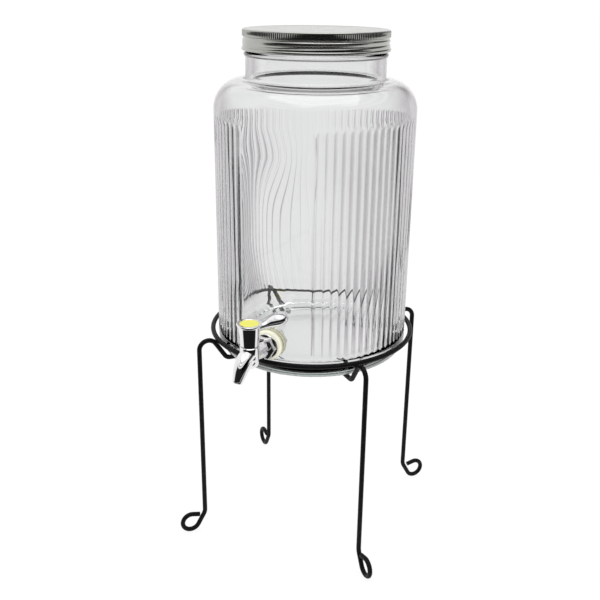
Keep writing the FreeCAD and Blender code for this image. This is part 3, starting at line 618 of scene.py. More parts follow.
class DISPENSER_OT_wire_stand(bpy.types.Operator):
    """Bend the wire of the ring and the four legs"""
    bl_idname = "dispenser.wire_stand"
    bl_label = "Wire Stand"

    RING_STEPS = 144
    WIRE_SIDES = 20
    DEGREES_PER_STEP = 7
    LEGS = ("leg_back_right", "leg_back_left", "leg_front_left", "leg_front_right")
    WELD = 2.2 * MM
    WELD_OFFSET = 1.5 * MM
    END_TAPER = 0.8

    def azimuths(self, sizes):
        """Where the four legs stand, round the jar's axis."""
        return [sizes.turn + math.radians(45 + 90 * quarter) for quarter in range(4)]

    def ring(self, sizes):
        """Round wire spun into the ring, with a weld bead at each leg."""
        piece = circle("ring_wire", self.WIRE_SIDES, sizes.wire,
                       (sizes.ring_radius, 0, sizes.ring_height))
        spin(math.tau, self.RING_STEPS)
        close_up(piece)
        for azimuth in self.azimuths(sizes):
            combine(piece, self.weld(sizes, azimuth), "UNION")
        return piece

    def weld(self, sizes, azimuth):
        """A small run of weld metal lying in the corner between ring and leg."""
        deselect_all()
        spot = plane_point(azimuth, sizes.ring_radius + self.WELD_OFFSET,
                           sizes.ring_height - self.WELD_OFFSET)
        bpy.ops.mesh.primitive_ico_sphere_add(subdivisions=3, radius=self.WELD, location=spot,
                                              scale=(0.9, 1.7, 0.9), rotation=(0, 0, azimuth))
        return named("weld_tool")

    def moves(self, sizes):
        """Along a leg from its hook: a length and no turn, or a bend's radius and its turn."""
        quarter = math.pi / 2
        rise, run = math.sin(sizes.leg_slope), math.cos(sizes.leg_slope)
        top_in_x = sizes.leg_radius - sizes.top_bend - sizes.top_bend * rise
        top_in_z = sizes.top_centre + sizes.top_bend * run
        hook_out_z = sizes.hook_height + sizes.hook_bend * (1 - run)
        slope_length = (top_in_z - hook_out_z) / rise
        hook_out_x = top_in_x - slope_length * run
        steep, flat = math.sin(sizes.foot_slope), math.cos(sizes.foot_slope)
        loop_in_x = sizes.loop_centre - sizes.loop_radius * steep
        loop_in_z = sizes.loop_radius + sizes.wire - sizes.loop_radius * flat
        foot_out_x = sizes.leg_radius + sizes.foot_bend * (1 - steep)
        foot_run = (loop_in_x - foot_out_x) / flat
        foot_top_z = loop_in_z + foot_run * steep + sizes.foot_bend * flat
        return [
            (hook_out_x - sizes.hook_bend * rise - sizes.hook_end, 0),
            (sizes.hook_bend, sizes.leg_slope),
            (slope_length, 0),
            (sizes.top_bend, -(sizes.leg_slope + quarter)),
            (sizes.top_centre - foot_top_z, 0),
            (sizes.foot_bend, quarter - sizes.foot_slope),
            (foot_run, 0),
            (sizes.loop_radius, sizes.loop_close + quarter + sizes.foot_slope),
            (sizes.loop_tail, 0),
        ]

    def leg(self, sizes):
        """One wire in the XZ plane: hook, slope, top bend, upright, foot loop and tail."""
        start = here = Vector((sizes.hook_end, 0, sizes.hook_height))
        heading = 0.0
        piece = circle("leg_wire", self.WIRE_SIDES, sizes.wire, start, (0, math.pi / 2, 0))
        for amount, turn in self.moves(sizes):
            ahead = Vector((math.cos(heading), 0, math.sin(heading)))
            if not turn:
                extrude(ahead * amount)
                here = here + ahead * amount
                continue
            side = math.copysign(1.0, turn)
            centre = here + Vector((-ahead.z, 0, ahead.x)) * amount * side
            steps = max(2, round(abs(math.degrees(turn)) / self.DEGREES_PER_STEP))
            spin(abs(turn), steps, centre, (0, -side, 0))
            here = centre + Matrix.Rotation(-turn, 3, "Y") @ (here - centre)
            heading += turn
        self.taper_end(here)
        near = sizes.wire * 1.01
        select_points(piece, lambda point: ((point - start).length < near
                                            and abs(point.x - start.x) < DOUBLE))
        self.taper_end(start)
        return close_up(piece)

    def taper_end(self, centre):
        """Draw in the cut end of the wire and cap it."""
        extrude()
        scale_points((self.END_TAPER,) * 3, centre)
        bpy.ops.mesh.edge_face_add()

    def execute(self, context):
        sizes = context.scene.dispenser_stand
        material = wire_finish(tuple(sizes.paint))
        finish_piece(self.ring(sizes), "stand", "black_wire", material, "stand_ring")
        first = self.leg(sizes)
        for azimuth, node in zip(self.azimuths(sizes), self.LEGS):
            leg = first.copy()
            leg.data = first.data.copy()
            leg.name = leg.data.name = f"{node}_wire"
            context.scene.collection.objects.link(leg)
            leg.rotation_euler.z = azimuth
            finish_piece(settle(leg), "stand", "black_wire", material, node)
        bpy.data.objects.remove(first)
        return {"FINISHED"}


class DISPENSER_OT_glass_jar(bpy.types.Operator):
    """Spin the jar's wall, raise its reeds and cut the tap hole"""
    bl_idname = "dispenser.glass_jar"
    bl_label = "Glass Jar"

    REED_STEPS = 8
    PANEL_STEPS = 40
    RUN_OUT_ROWS = 6
    WALL_ROWS = 4
    EDGE = math.radians(1.2)  # from the last reed to the plain panel
    THREAD_STEPS = 60  # in one turn
    THREAD_SINK = 0.8 * MM  # depth of the thread's root in the glass
    THREAD_ROUND = 0.25 * MM  # from its crest down to its flanks
    THREAD_END = 0.978  # scale that draws both ends into the glass
    # Under the jar: share of the foot ring's radius, share of the hollow's height
    HOLLOW = [(0.0, 1.0), (0.5, 0.75), (0.85, 0.28)]

    def rows(self, sizes):
        """Heights on the outside wall where the reeds need points."""
        low = between(sizes.reed_bottom, sizes.reed_bottom + sizes.run_out, self.RUN_OUT_ROWS)
        high = between(sizes.reed_top - sizes.run_out, sizes.reed_top, self.RUN_OUT_ROWS)
        return low + between(low[-1], high[0], self.WALL_ROWS + 1)[1:-1] + high

    def outline(self, sizes):
        """From the middle of the foot up the outside, over the rim and down to the floor."""
        turn = sizes.neck + sizes.neck_fillet
        bend = sizes.radius - turn
        inside = sizes.radius - sizes.wall
        mouth = sizes.neck - sizes.wall
        floor = sizes.bottom + sizes.floor
        heel = (sizes.radius - sizes.heel, sizes.bottom + sizes.heel)
        inner_heel = (inside - sizes.inner_heel, floor + sizes.inner_heel)
        bead = (sizes.bead_half ** 2 + sizes.bead_proud ** 2) / (2 * sizes.bead_proud)
        sweep = math.degrees(math.asin(sizes.bead_half / bead))
        bead_centre = (sizes.neck + sizes.bead_proud - bead, sizes.bead_height)
        chamfer = sizes.neck - sizes.finish
        rim = sizes.rim - sizes.rim_round
        hollow = (turn, sizes.shoulder + bend + sizes.neck_fillet)
        points = [(sizes.foot_inner * out, sizes.bottom + sizes.push_up * up)
                  for out, up in self.HOLLOW]
        points += [(sizes.foot_inner, sizes.bottom + 0.2 * MM),
                   (sizes.foot_inner + 1.5 * MM, sizes.bottom)]
        points += arc(heel, sizes.heel, -90, 0, 9)
        points += [(sizes.radius, z) for z in self.rows(sizes)]
        points += arc((turn, sizes.shoulder), bend, 0, 90, 18)
        points += arc(hollow, sizes.neck_fillet, 270, 180, 6)[1:]
        points += arc(bead_centre, bead, -sweep, sweep, 8)
        points += [(sizes.finish, sizes.bead_height + sizes.bead_half + chamfer)]
        points += arc((sizes.finish - sizes.rim_round, rim), sizes.rim_round, 0, 90, 5)
        points += arc((mouth + sizes.rim_round, rim), sizes.rim_round, 90, 180, 5)
        points += arc(hollow, sizes.neck_fillet + sizes.wall, 180, 270, 8)
        points += arc((turn, sizes.shoulder), bend - sizes.wall, 90, 0, 14)[1:]
        points += [(inside, sizes.shoulder - down * MM) for down in (60, 140)]
        points += arc(inner_heel, sizes.inner_heel, 0, -90, 8)
        return points + [(inside * 0.45, floor), (0, floor)]

    def wall_ratio(self, sizes, share, height):
        """Share of the plain radius, at a share of half a pitch from a crest and at a height."""
        reed = sizes.valley + (sizes.crest - sizes.valley) * (1 - share * share)
        into = min(height - sizes.reed_bottom, sizes.reed_top - height) / sizes.run_out
        trough = sizes.radius - (sizes.radius - sizes.trough) * min(1.0, max(0.0, into))
        return max(reed, trough) / sizes.radius if into > SAME else 1.0

    def raise_reed(self, piece, sizes, first):
        """Move each column of one reed in or out, row by row and the straight rows at once."""
        near = sizes.pitch / self.REED_STEPS / 4 * sizes.radius
        groups = {}
        for height in self.rows(sizes):
            into = min(height - sizes.reed_bottom, sizes.reed_top - height)
            zone = "straight" if into >= sizes.run_out - DOUBLE else height
            for column in range(self.REED_STEPS + 1):
                share = abs(2 * column / self.REED_STEPS - 1)
                ratio = round(self.wall_ratio(sizes, share, height), 7)
                if abs(ratio - 1) > SAME:
                    groups.setdefault((column, zone, ratio), []).append(height)
        for (column, _, ratio), heights in groups.items():
            azimuth = first + sizes.pitch * column / self.REED_STEPS
            select_points(piece, beside_plane(azimuth, near, min(heights) - 0.1 * MM,
                                              max(heights) + 0.1 * MM,
                                              sizes.radius - sizes.wall / 2))
            scale_points((ratio, ratio, 1), (0, 0, heights[0]))

    def smooth_panel(self, piece, sizes, start, width):
        """Fill in the plain panel behind the tap from the last reed's edge."""
        select_points(piece, beside_plane(start, 2 * DOUBLE))
        spin(self.EDGE, 1)
        self.scale_wall(piece, sizes, True)
        spin(width - 2 * self.EDGE, self.PANEL_STEPS)
        spin(self.EDGE, 1)
        self.scale_wall(piece, sizes, False)

    def scale_wall(self, piece, sizes, outwards):
        """Bring the column just spun to the plain radius, or back to the reed's edge."""
        mesh = bmesh.from_edit_mesh(piece.data)
        mesh.verts.index_update()
        spun = {point.index for point in mesh.verts if point.select}
        outside = sizes.radius - sizes.wall / 2
        for height in self.rows(sizes):
            ratio = self.wall_ratio(sizes, 1.0, height)
            if abs(ratio - 1) < SAME:
                continue
            select_points(piece, lambda point: (abs(point.z - height) < 0.05 * MM
                                                and point.xy.length > outside), spun)
            factor = 1 / ratio if outwards else ratio
            scale_points((factor, factor, 1), (0, 0, height))
        select_points(piece, lambda point: True, spun)

    def neck_thread(self, sizes, pitch):
        """A turn and a bit of rounded thread for the lid, sunk into the glass at both ends."""
        root = sizes.finish - self.THREAD_SINK
        crest = sizes.finish + sizes.thread_proud
        flank = crest - self.THREAD_ROUND
        # Up the thread's section: radius, height in millimetres
        section = [(root, -1.5), (sizes.finish, -1.3), (flank, -0.55), (crest, 0.0),
                   (flank, 0.55), (sizes.finish, 1.3), (root, 1.5)]
        piece = draw_outline("thread_tool", [Vector((radius, 0, sizes.thread_low + up * MM))
                                             for radius, up in section])
        select_points(piece, lambda point: point.x < root + 0.1 * MM)
        bpy.ops.mesh.edge_face_add()
        leave_edit()
        steps = round(self.THREAD_STEPS * THREAD_TURNS)
        apply_modifier(piece, "SCREW", axis="Z", angle=math.tau * THREAD_TURNS,
                       screw_offset=pitch * THREAD_TURNS, steps=steps, render_steps=steps)
        edit(piece)
        bpy.ops.mesh.fill_holes(sides=0)
        close_up(piece)
        edit(piece)
        for turns in (0.0, THREAD_TURNS):
            middle = sizes.thread_low + pitch * turns
            select_points(piece, beside_plane(math.tau * turns, 0.1 * MM, middle - 1.6 * MM,
                                              middle + 1.6 * MM))
            scale_points((self.THREAD_END, self.THREAD_END, 1), (0, 0, middle))
        leave_edit()
        return piece

    def tap_seats(self, piece, tap):
        """Flat seats for the washers, and the hole through them."""
        inner, outer = (Vector((0, -seat, tap.height)) for seat in (tap.seat_inside, tap.seat))
        past = FORWARD * 8 * MM
        combine(piece, rod("seat_tool", tap.seat_radius, inner, outer, 64), "UNION")
        combine(piece, rod("hole_tool", tap.hole, inner - past, outer + past), "DIFFERENCE")

    def execute(self, context):
        sizes = context.scene.dispenser_jar
        reeded = sizes.pitch * sizes.reeds
        first = -math.pi / 2 + sizes.panel_turn + (math.tau - reeded) / 2
        outline = [plane_point(first, radius, height) for radius, height in self.outline(sizes)]
        piece = draw_outline("jar_glass", outline)
        spin(sizes.pitch, self.REED_STEPS)
        self.raise_reed(piece, sizes, first)
        select_whole()
        spin(reeded - sizes.pitch, sizes.reeds - 1, copies=True)
        select_whole()
        bpy.ops.mesh.remove_doubles(threshold=DOUBLE)
        self.smooth_panel(piece, sizes, first + reeded, math.tau - reeded)
        close_up(piece)
        thread = self.neck_thread(sizes, context.scene.dispenser_lid.thread_pitch)
        combine(piece, thread, "UNION")
        self.tap_seats(piece, context.scene.dispenser_tap)
        glass = glass_finish(tuple(sizes.tint), sizes.radius - sizes.wall / 2, sizes.reed_bottom,
                             sizes.shoulder)
        finish_piece(piece, "jar", "clear_glass", glass, "glass_jar", sharp=50)
        piece.visible_shadow = False
        return {"FINISHED"}


class DISPENSER_OT_screw_lid(bpy.types.Operator):
    """Spin the stamped lid, press its knurls and roll its thread"""
    bl_idname = "dispenser.screw_lid"
    bl_label = "Screw Lid"

    KNURL_STEPS = 4
    SKIRT_ROWS = 14
    # Outwards over the top panel: radius and depth below the top, in millimetres
    TOP = [(0.0, 0.45), (30.0, 0.45), (62.5, 0.45), (63.6, 0.35), (64.6, 0.1), (65.6, 0.0)]
    # Inwards under it, above the sheet: the same
    UNDER = [(65.4, 0.0), (63.0, 0.45), (0.0, 0.45)]
    THREAD_RISE = 1.9 * MM  # start of the thread above the skirt's lower end
    THREAD_HALF = 1.7 * MM
    THREAD_FADE = 0.08  # turns at each end
    THREAD_CLEAR = 0.8 * MM  # room to the ends of the skirt

    def skirt(self, sizes):
        """Upper and lower end of the skirt."""
        return sizes.knurl_end - 3 * sizes.groove, sizes.bottom + sizes.curl * 1.95

    def outline(self, sizes):
        """From the middle of the top down the outside, round the rolled edge and back inside."""
        outer, sheet, groove, top = sizes.radius, sizes.sheet, sizes.groove, sizes.top
        inner = outer - sheet
        knurl = sizes.knurl_end
        corner = (outer - sizes.corner, top - sizes.corner)
        curl_centre = (outer - sizes.curl * 0.55, sizes.bottom + sizes.curl)
        rows = between(*self.skirt(sizes), self.SKIRT_ROWS)
        points = [(out * MM, top - down * MM) for out, down in self.TOP]
        points += arc(corner, sizes.corner, 90, 0, 6)
        points += [(outer, z) for z in between(corner[1], knurl, 4)[1:]]
        points += arc((outer - groove * 0.05, knurl - groove * 1.5), groove * 1.05, 125, 235, 6)
        points += [(outer - sheet * 0.5, z) for z in rows]
        points += arc(curl_centre, sizes.curl, 75, -180, 14)
        points += [(inner - sheet * 0.5, z) for z in reversed(rows[:-1])]
        points += [(inner - groove, knurl - groove * 1.5), (inner, knurl - groove * 0.2),
                   (inner, corner[1]), (corner[0] + 0.6 * MM, top - sheet - 0.3 * MM),
                   (corner[0] - MM, top - sheet)]
        return points + [(out * MM, top - down * MM - sheet) for out, down in self.UNDER]

    def press_knurls(self, piece, sizes, pitch):
        """Draw in the columns between two knurl crests on the upper band."""
        low, high = sizes.knurl_end + 0.3 * MM, sizes.top - sizes.corner * 0.45
        band_top = sizes.top - sizes.corner
        inner = sizes.radius - sizes.sheet * 0.9
        near = pitch / self.KNURL_STEPS / 4 * sizes.radius
        for column in range(1, self.KNURL_STEPS):
            turn = column / self.KNURL_STEPS
            depth = sizes.knurl_depth * (1 - math.cos(math.tau * turn)) / 2
            ratio = 1 - depth / sizes.radius
            on_column = beside_plane(pitch * turn, near, low, high, sizes.radius - 1.6 * MM)
            select_points(piece, lambda point: (on_column(point) and (point.z >= band_top
                                                                      or point.xy.length > inner)))
            scale_points((ratio, ratio, 1), (0, 0, low))

    def roll_thread(self, piece, sizes):
        """Press the helical thread into the skirt, which no operator does in one go."""
        top, low = self.skirt(sizes)
        for point in piece.data.vertices:
            height = point.co.z
            if not low - DOUBLE <= height <= top + DOUBLE:
                continue
            room = min(1.0, (height - low) / self.THREAD_CLEAR, (top - height) / self.THREAD_CLEAR)
            start = (math.atan2(point.co.y, point.co.x) - sizes.thread_start) % math.tau / math.tau
            for turns in (start, start + 1):
                if turns > THREAD_TURNS:
                    continue
                fade = min(1.0, turns / self.THREAD_FADE,
                           (THREAD_TURNS - turns) / self.THREAD_FADE)
                middle = low + self.THREAD_RISE + turns * sizes.thread_pitch
                off = (height - middle) / self.THREAD_HALF
                press = sizes.thread_depth * fade * max(0.0, room) * math.exp(-off * off * 2)
                point.co.xy *= 1 - press / sizes.radius

    def execute(self, context):
        sizes = context.scene.dispenser_lid
        pitch = math.tau / sizes.knurls
        outline = [plane_point(0, radius, height) for radius, height in self.outline(sizes)]
        piece = draw_outline("lid_metal", outline)
        spin(pitch, self.KNURL_STEPS)
        self.press_knurls(piece, sizes, pitch)
        select_whole()
        spin(math.tau - pitch, sizes.knurls - 1, copies=True)
        close_up(piece)
        self.roll_thread(piece, sizes)
        metal = lid_finish(tuple(sizes.metal))
        finish_piece(piece, "lid", "satin_lid", metal, "lid_shell", sharp=40)
        return {"FINISHED"}


def tap_points(sizes):
    """The middle of the tap's outer seat, and the valve's axis at the shank's height."""
    seat = Vector((0, -sizes.seat, sizes.height))
    return seat, seat + FORWARD * sizes.reach


def tap_chrome(sizes):
    return made_once("Bright chrome", chrome_finish, tuple(sizes.chrome))


class DISPENSER_OT_tap_body(bpy.types.Operator):
    """Turn the tap's barrel and valve, draw out its spout and join them"""
    bl_idname = "dispenser.tap_body"
    bl_label = "Tap Body"

    TURN_STEPS = 64
    # Down the spout and its water way, in millimetres and degrees: distance from the valve's
    # axis, height, slope, radius
    BEAK = [(3.0, 4.0, 15.0, 8.5), (10.0, 2.0, 35.0, 8.3), (18.0, -5.0, 50.0, 7.0),
            (24.5, -14.2, 58.0, 4.6)]
    WAY = [(10.5, -0.8, 35.0, 3.4), (18.0, -6.5, 50.0, 3.2), (24.5, -14.2, 58.0, 3.0),
           (26.6, -17.6, 58.0, 3.0)]
    # Rounding of the spout's lip: the same, added to its end
    LIP = [(0.25, -0.4, 0.0, -0.35), (0.35, -0.55, 0.0, -0.9)]
    SOFT = 0.8 * MM
    HOLLOW = 1.2 * MM
    HOUSING_ROUND = 8.0 * MM
    HOUSING_EDGE = 0.6 * MM
    CHAMBER_BOTTOM = -7.0 * MM
    BONNET = 7.0 * MM
    BONNET_DEPTH = 4.0 * MM

    def barrel(self, sizes, seat):
        """Shank, flange, hexagon and tube, turned about the tap's axis."""
        soft = self.SOFT
        back = -sizes.shank_inside
        flange_start = sizes.outer_washer
        flange_end = flange_start + sizes.flange_width
        outline = [(0, back), (sizes.shank - soft, back), (sizes.shank, back + soft),
                   (sizes.shank, flange_start), (sizes.flange - soft / 2, flange_start),
                   (sizes.flange, flange_start + soft / 2)]
        outline += arc((sizes.flange - soft, flange_end - soft), soft, 0, 90, 4)
        outline += [(sizes.barrel + self.HOLLOW, flange_end),
                    (sizes.barrel, flange_end + self.HOLLOW), (sizes.barrel, sizes.reach),
                    (0, sizes.reach)]
        body = lathe("tap_casting", outline, self.TURN_STEPS, seat, FORWARD)
        collar = hexagon("collar_tool", sizes.hex_across, seat + FORWARD * (flange_end - MM),
                         sizes.hex_width + MM, 0.6 * MM)
        combine(body, collar, "UNION")
        return body

    def housing(self, sizes, valve):
        """Upright housing, round below; rows beside its edges keep its sides evenly shaded."""
        low, top = -sizes.valve_bottom, sizes.valve_top
        bend, edge = self.HOUSING_ROUND, self.HOUSING_EDGE
        outline = [(0, low)] + arc((sizes.valve - bend, low + bend), bend, -90, 0, 8)
        outline += [(sizes.valve, low + bend + 0.5 * MM), (sizes.valve, top - 1.0 * MM),
                    (sizes.valve, top - edge), (sizes.valve - edge, top), (0, top)]
        return lathe("housing_tool", outline, self.TURN_STEPS, valve)

    def pipe(self, name, stations, valve, sides):
        """Round pipe in front of the valve, through stations."""
        rings = [(valve + Vector((0, -out * MM, up * MM)), radius * MM, radius * MM,
                  math.radians(slope)) for out, up, slope, radius in stations]
        return loft(name, rings, sides)

    def execute(self, context):
        sizes = context.scene.dispenser_tap
        seat, valve = tap_points(sizes)
        body = self.barrel(sizes, seat)
        combine(body, self.housing(sizes, valve), "UNION")
        beak = smooth_between(self.BEAK, 6)
        end = beak[-1]
        beak += [tuple(at + more for at, more in zip(end, step)) for step in self.LIP]
        combine(body, self.pipe("spout_tool", beak, valve, 48), "UNION")
        way = smooth_between(self.WAY, 5)
        combine(body, self.pipe("water_tool", way, valve, 32), "DIFFERENCE")
        past = valve + UP * (sizes.valve_top + MM)
        bonnet = valve + UP * (sizes.valve_top - self.BONNET_DEPTH)
        inlet = seat - FORWARD * (sizes.shank_inside + MM)
        bores = (("chamber_tool", sizes.chamber, valve + UP * self.CHAMBER_BOTTOM, past),
                 ("bonnet_tool", self.BONNET, bonnet, past),
                 ("shank_tool", sizes.bore, inlet, valve - FORWARD * 5 * MM))
        for bore in bores:
            combine(body, rod(*bore), "DIFFERENCE")
        finish_piece(body, "jar", "tap_chrome", tap_chrome(sizes), "tap_body")
        return {"FINISHED"}


class DISPENSER_OT_tap_handle(bpy.types.Operator):
    """Turn the handle's hub, draw out its lever and set the disc in its top"""
    bl_idname = "dispenser.tap_handle"
    bl_label = "Tap Handle"

    TURN_STEPS = 72
    # Along the lever: distance from the axis, half width, half thickness, height above the shank
    LEVER = [(6.0, 4.4, 3.5, 30.9), (15.0, 4.2, 3.4, 33.2), (21.5, 7.2, 5.2, 35.6),
             (27.5, 9.3, 6.6, 37.0), (33.2, 8.0, 5.7, 37.6), (36.2, 4.6, 3.2, 37.8)]
    # Rounding of its end: distance past the last station, share of its size
    LEVER_END = [(0.35, 0.82), (0.55, 0.55)]
    # Up the hub's shoulder: distance past its radius, depth below the rim, in millimetres
    FLARE = [(-0.03, 3.4), (0.0, 3.0), (0.35, 2.3)]
    SCREW_HOLE = 1.7 * MM
    SCREW_HEAD = 3.4 * MM
    SCREW_SEAT = 2.5 * MM
    SOCKET = 5.6 * MM
    SKIRT = 7.25 * MM
    SKIRT_TOP = 29.5 * MM
    WEB = 7.6 * MM
    LIP = 0.5 * MM
    RIM_ROUND = 0.8 * MM
    DISC_EDGE = 0.35 * MM

    def hub(self, sizes, valve):
        """Hub with its socket and screw hole; rows beside its bends keep its side evenly shaded."""
        rim, low, lip, bend = sizes.hub_top, sizes.hub_bottom, self.LIP, self.RIM_ROUND
        stem = low + 2 * MM
        floor = rim - sizes.disc_depth
        seat = floor - self.SCREW_SEAT
        outline = [(self.SCREW_HOLE, stem), (self.SOCKET, stem), (self.SOCKET, self.SKIRT_TOP),
                   (self.SKIRT, self.SKIRT_TOP), (self.SKIRT, low), (sizes.hub - lip, low),
                   (sizes.hub, low + lip), (sizes.hub + 0.03 * MM, low + 2 * lip)]
        outline += [(sizes.hub_shoulder + out * MM, rim - down * MM) for out, down in self.FLARE]
        outline += [(sizes.hub_rim - 0.2 * MM, rim - 1.7 * MM)]
        outline += arc((sizes.hub_rim - bend, rim - bend), bend, 0, 90, 5)
        outline += [(sizes.disc + 0.3 * MM, rim), (sizes.disc, rim - 0.3 * MM),
                    (sizes.disc, floor), (self.SCREW_HEAD, floor), (self.SCREW_HEAD, seat),
                    (self.SCREW_HOLE, seat), (self.SCREW_HOLE, stem)]
        return lathe("handle_casting", outline, self.TURN_STEPS, valve)

    def lever(self, sizes, valve):
        """Drawn along -Y at the origin, then turned and set on the valve's axis."""
        stations = smooth_between(self.LEVER, 5)
        out, half, thick, up = stations[-1]
        stations += [(out + push, half * share, thick * share, up)
                     for push, share in self.LEVER_END]
        rings = [(Vector((0, -out * MM, up * MM)), half * MM, thick * MM, 0.0)
                 for out, half, thick, up in stations]
        piece = loft("lever_tool", rings, 40)
        piece.rotation_euler.z = math.pi / 2 + sizes.lever_turn
        piece.location = valve
        return settle(piece)

    def disc(self, sizes, valve):
        """Slightly domed disc that fills the recess on top."""
        top, soft = sizes.hub_top, self.DISC_EDGE
        floor = top - sizes.disc_depth
        edge = sizes.disc - 0.05 * MM
        outline = [(0, floor), (edge, floor)] + arc((edge - soft, top - 2 * soft), soft, 0, 90, 4)
        outline += [(edge * 0.8, top - 0.9 * soft), (edge * 0.4, top - 0.7 * soft),
                    (0, top - 0.6 * soft)]
        return lathe("handle_disc", outline, self.TURN_STEPS, valve)

    def execute(self, context):
        sizes = context.scene.dispenser_tap
        valve = tap_points(sizes)[1]
        handle = self.hub(sizes, valve)
        lever = self.lever(sizes, valve)
        inside = rod("web_tool", self.WEB, valve + UP * 10 * MM, valve + UP * 50 * MM, 72)
        combine(lever, inside, "DIFFERENCE")
        combine(handle, lever, "UNION")
        finish_piece(handle, "handle", "tap_chrome", tap_chrome(sizes), "tap_handle")
        yellow = soft_finish("Yellow plastic", tuple(sizes.yellow), 0.35)
        finish_piece(self.disc(sizes, valve), "handle", "yellow_disc", yellow, "indicator_disc")
        return {"FINISHED"}


class DISPENSER_OT_tap_seals(bpy.types.Operator):
    """Mould the two cream washers and the lock nut"""
    bl_idname = "dispenser.tap_seals"
    bl_label = "Tap Washers and Nut"

    TURN_STEPS = 72
    SOFT = 1.2 * MM

    def washer(self, name, sizes, start, width):
        """Washer with a rounded rim, from a distance outside the outer seat."""
        soft, far, near, end = self.SOFT, sizes.washer, sizes.washer_hole, start + width
        outline = [(near, start), (far - soft, start)]
        outline += arc((far - soft, start + soft), soft, -90, 0, 5)[1:]
        outline += arc((far - soft, end - soft), soft, 0, 90, 5)
        outline += [(far - 3.2 * MM, end), (near, end), (near, start)]
        return lathe(name, outline, self.TURN_STEPS, tap_points(sizes)[0], FORWARD)

    def execute(self, context):
        sizes = context.scene.dispenser_tap
        cream = tuple(sizes.silicone)
        # The emission is a painted glow that lightens the washers, though they give no light of
        # their own.
        silicone = soft_finish("Cream silicone", cream, 0.42, subsurface_weight=0.35,
                               subsurface_scale=2 * MM, subsurface_radius=(1.0, 0.9, 0.7),
                               emission_color=(*cream, 1), emission_strength=0.15)
        outer = self.washer("washer_outside", sizes, 0.0, sizes.outer_washer)
        finish_piece(outer, "jar", "cream_silicone", silicone, "outer_washer")
        inner_start = sizes.seat_inside - sizes.seat - sizes.inner_washer
        inner = self.washer("washer_inside", sizes, inner_start, sizes.inner_washer)
        finish_piece(inner, "jar", "cream_silicone", silicone, "inner_washer")
        back = sizes.seat_inside - sizes.inner_washer - sizes.nut_width
        start = Vector((0, -back, sizes.height))
        nut = hexagon("shank_nut", sizes.nut_across, start, sizes.nut_width, 0.7 * MM)
        hole = rod("nut_tool", sizes.shank + 0.06 * MM, start - FORWARD * 5 * MM,
                   start + FORWARD * 15 * MM)
        combine(nut, hole, "DIFFERENCE")
        nylon = made_once("White nylon", soft_finish, NYLON, 0.4)
        finish_piece(nut, "jar", "white_nut", nylon, "lock_nut")
        return {"FINISHED"}


class DISPENSER_OT_small_parts(bpy.types.Operator):
    """Give the valve's inner parts and the lid's liner their finishes"""
    bl_idname = "dispenser.small_parts"
    bl_label = "Small Parts"

    def execute(self, context):
        nylon = made_once("White nylon", soft_finish, NYLON, 0.4)
        rubber = soft_finish("Black rubber", (0.02, 0.02, 0.02), 0.55)
        finishes = {
            "bonnet_ring": nylon,
            "valve_plug": nylon,
            "lower_seal_ring": rubber,
            "upper_seal_ring": rubber,
            "handle_screw": chrome_finish("Plated screw", (0.7, 0.69, 0.67)),
            "lid_liner": soft_finish("White liner", (0.86, 0.86, 0.83), 0.5),
        }
        for node, material in finishes.items():
            frame["nodes"][node].material_slots[0].material = material
        return {"FINISHED"}


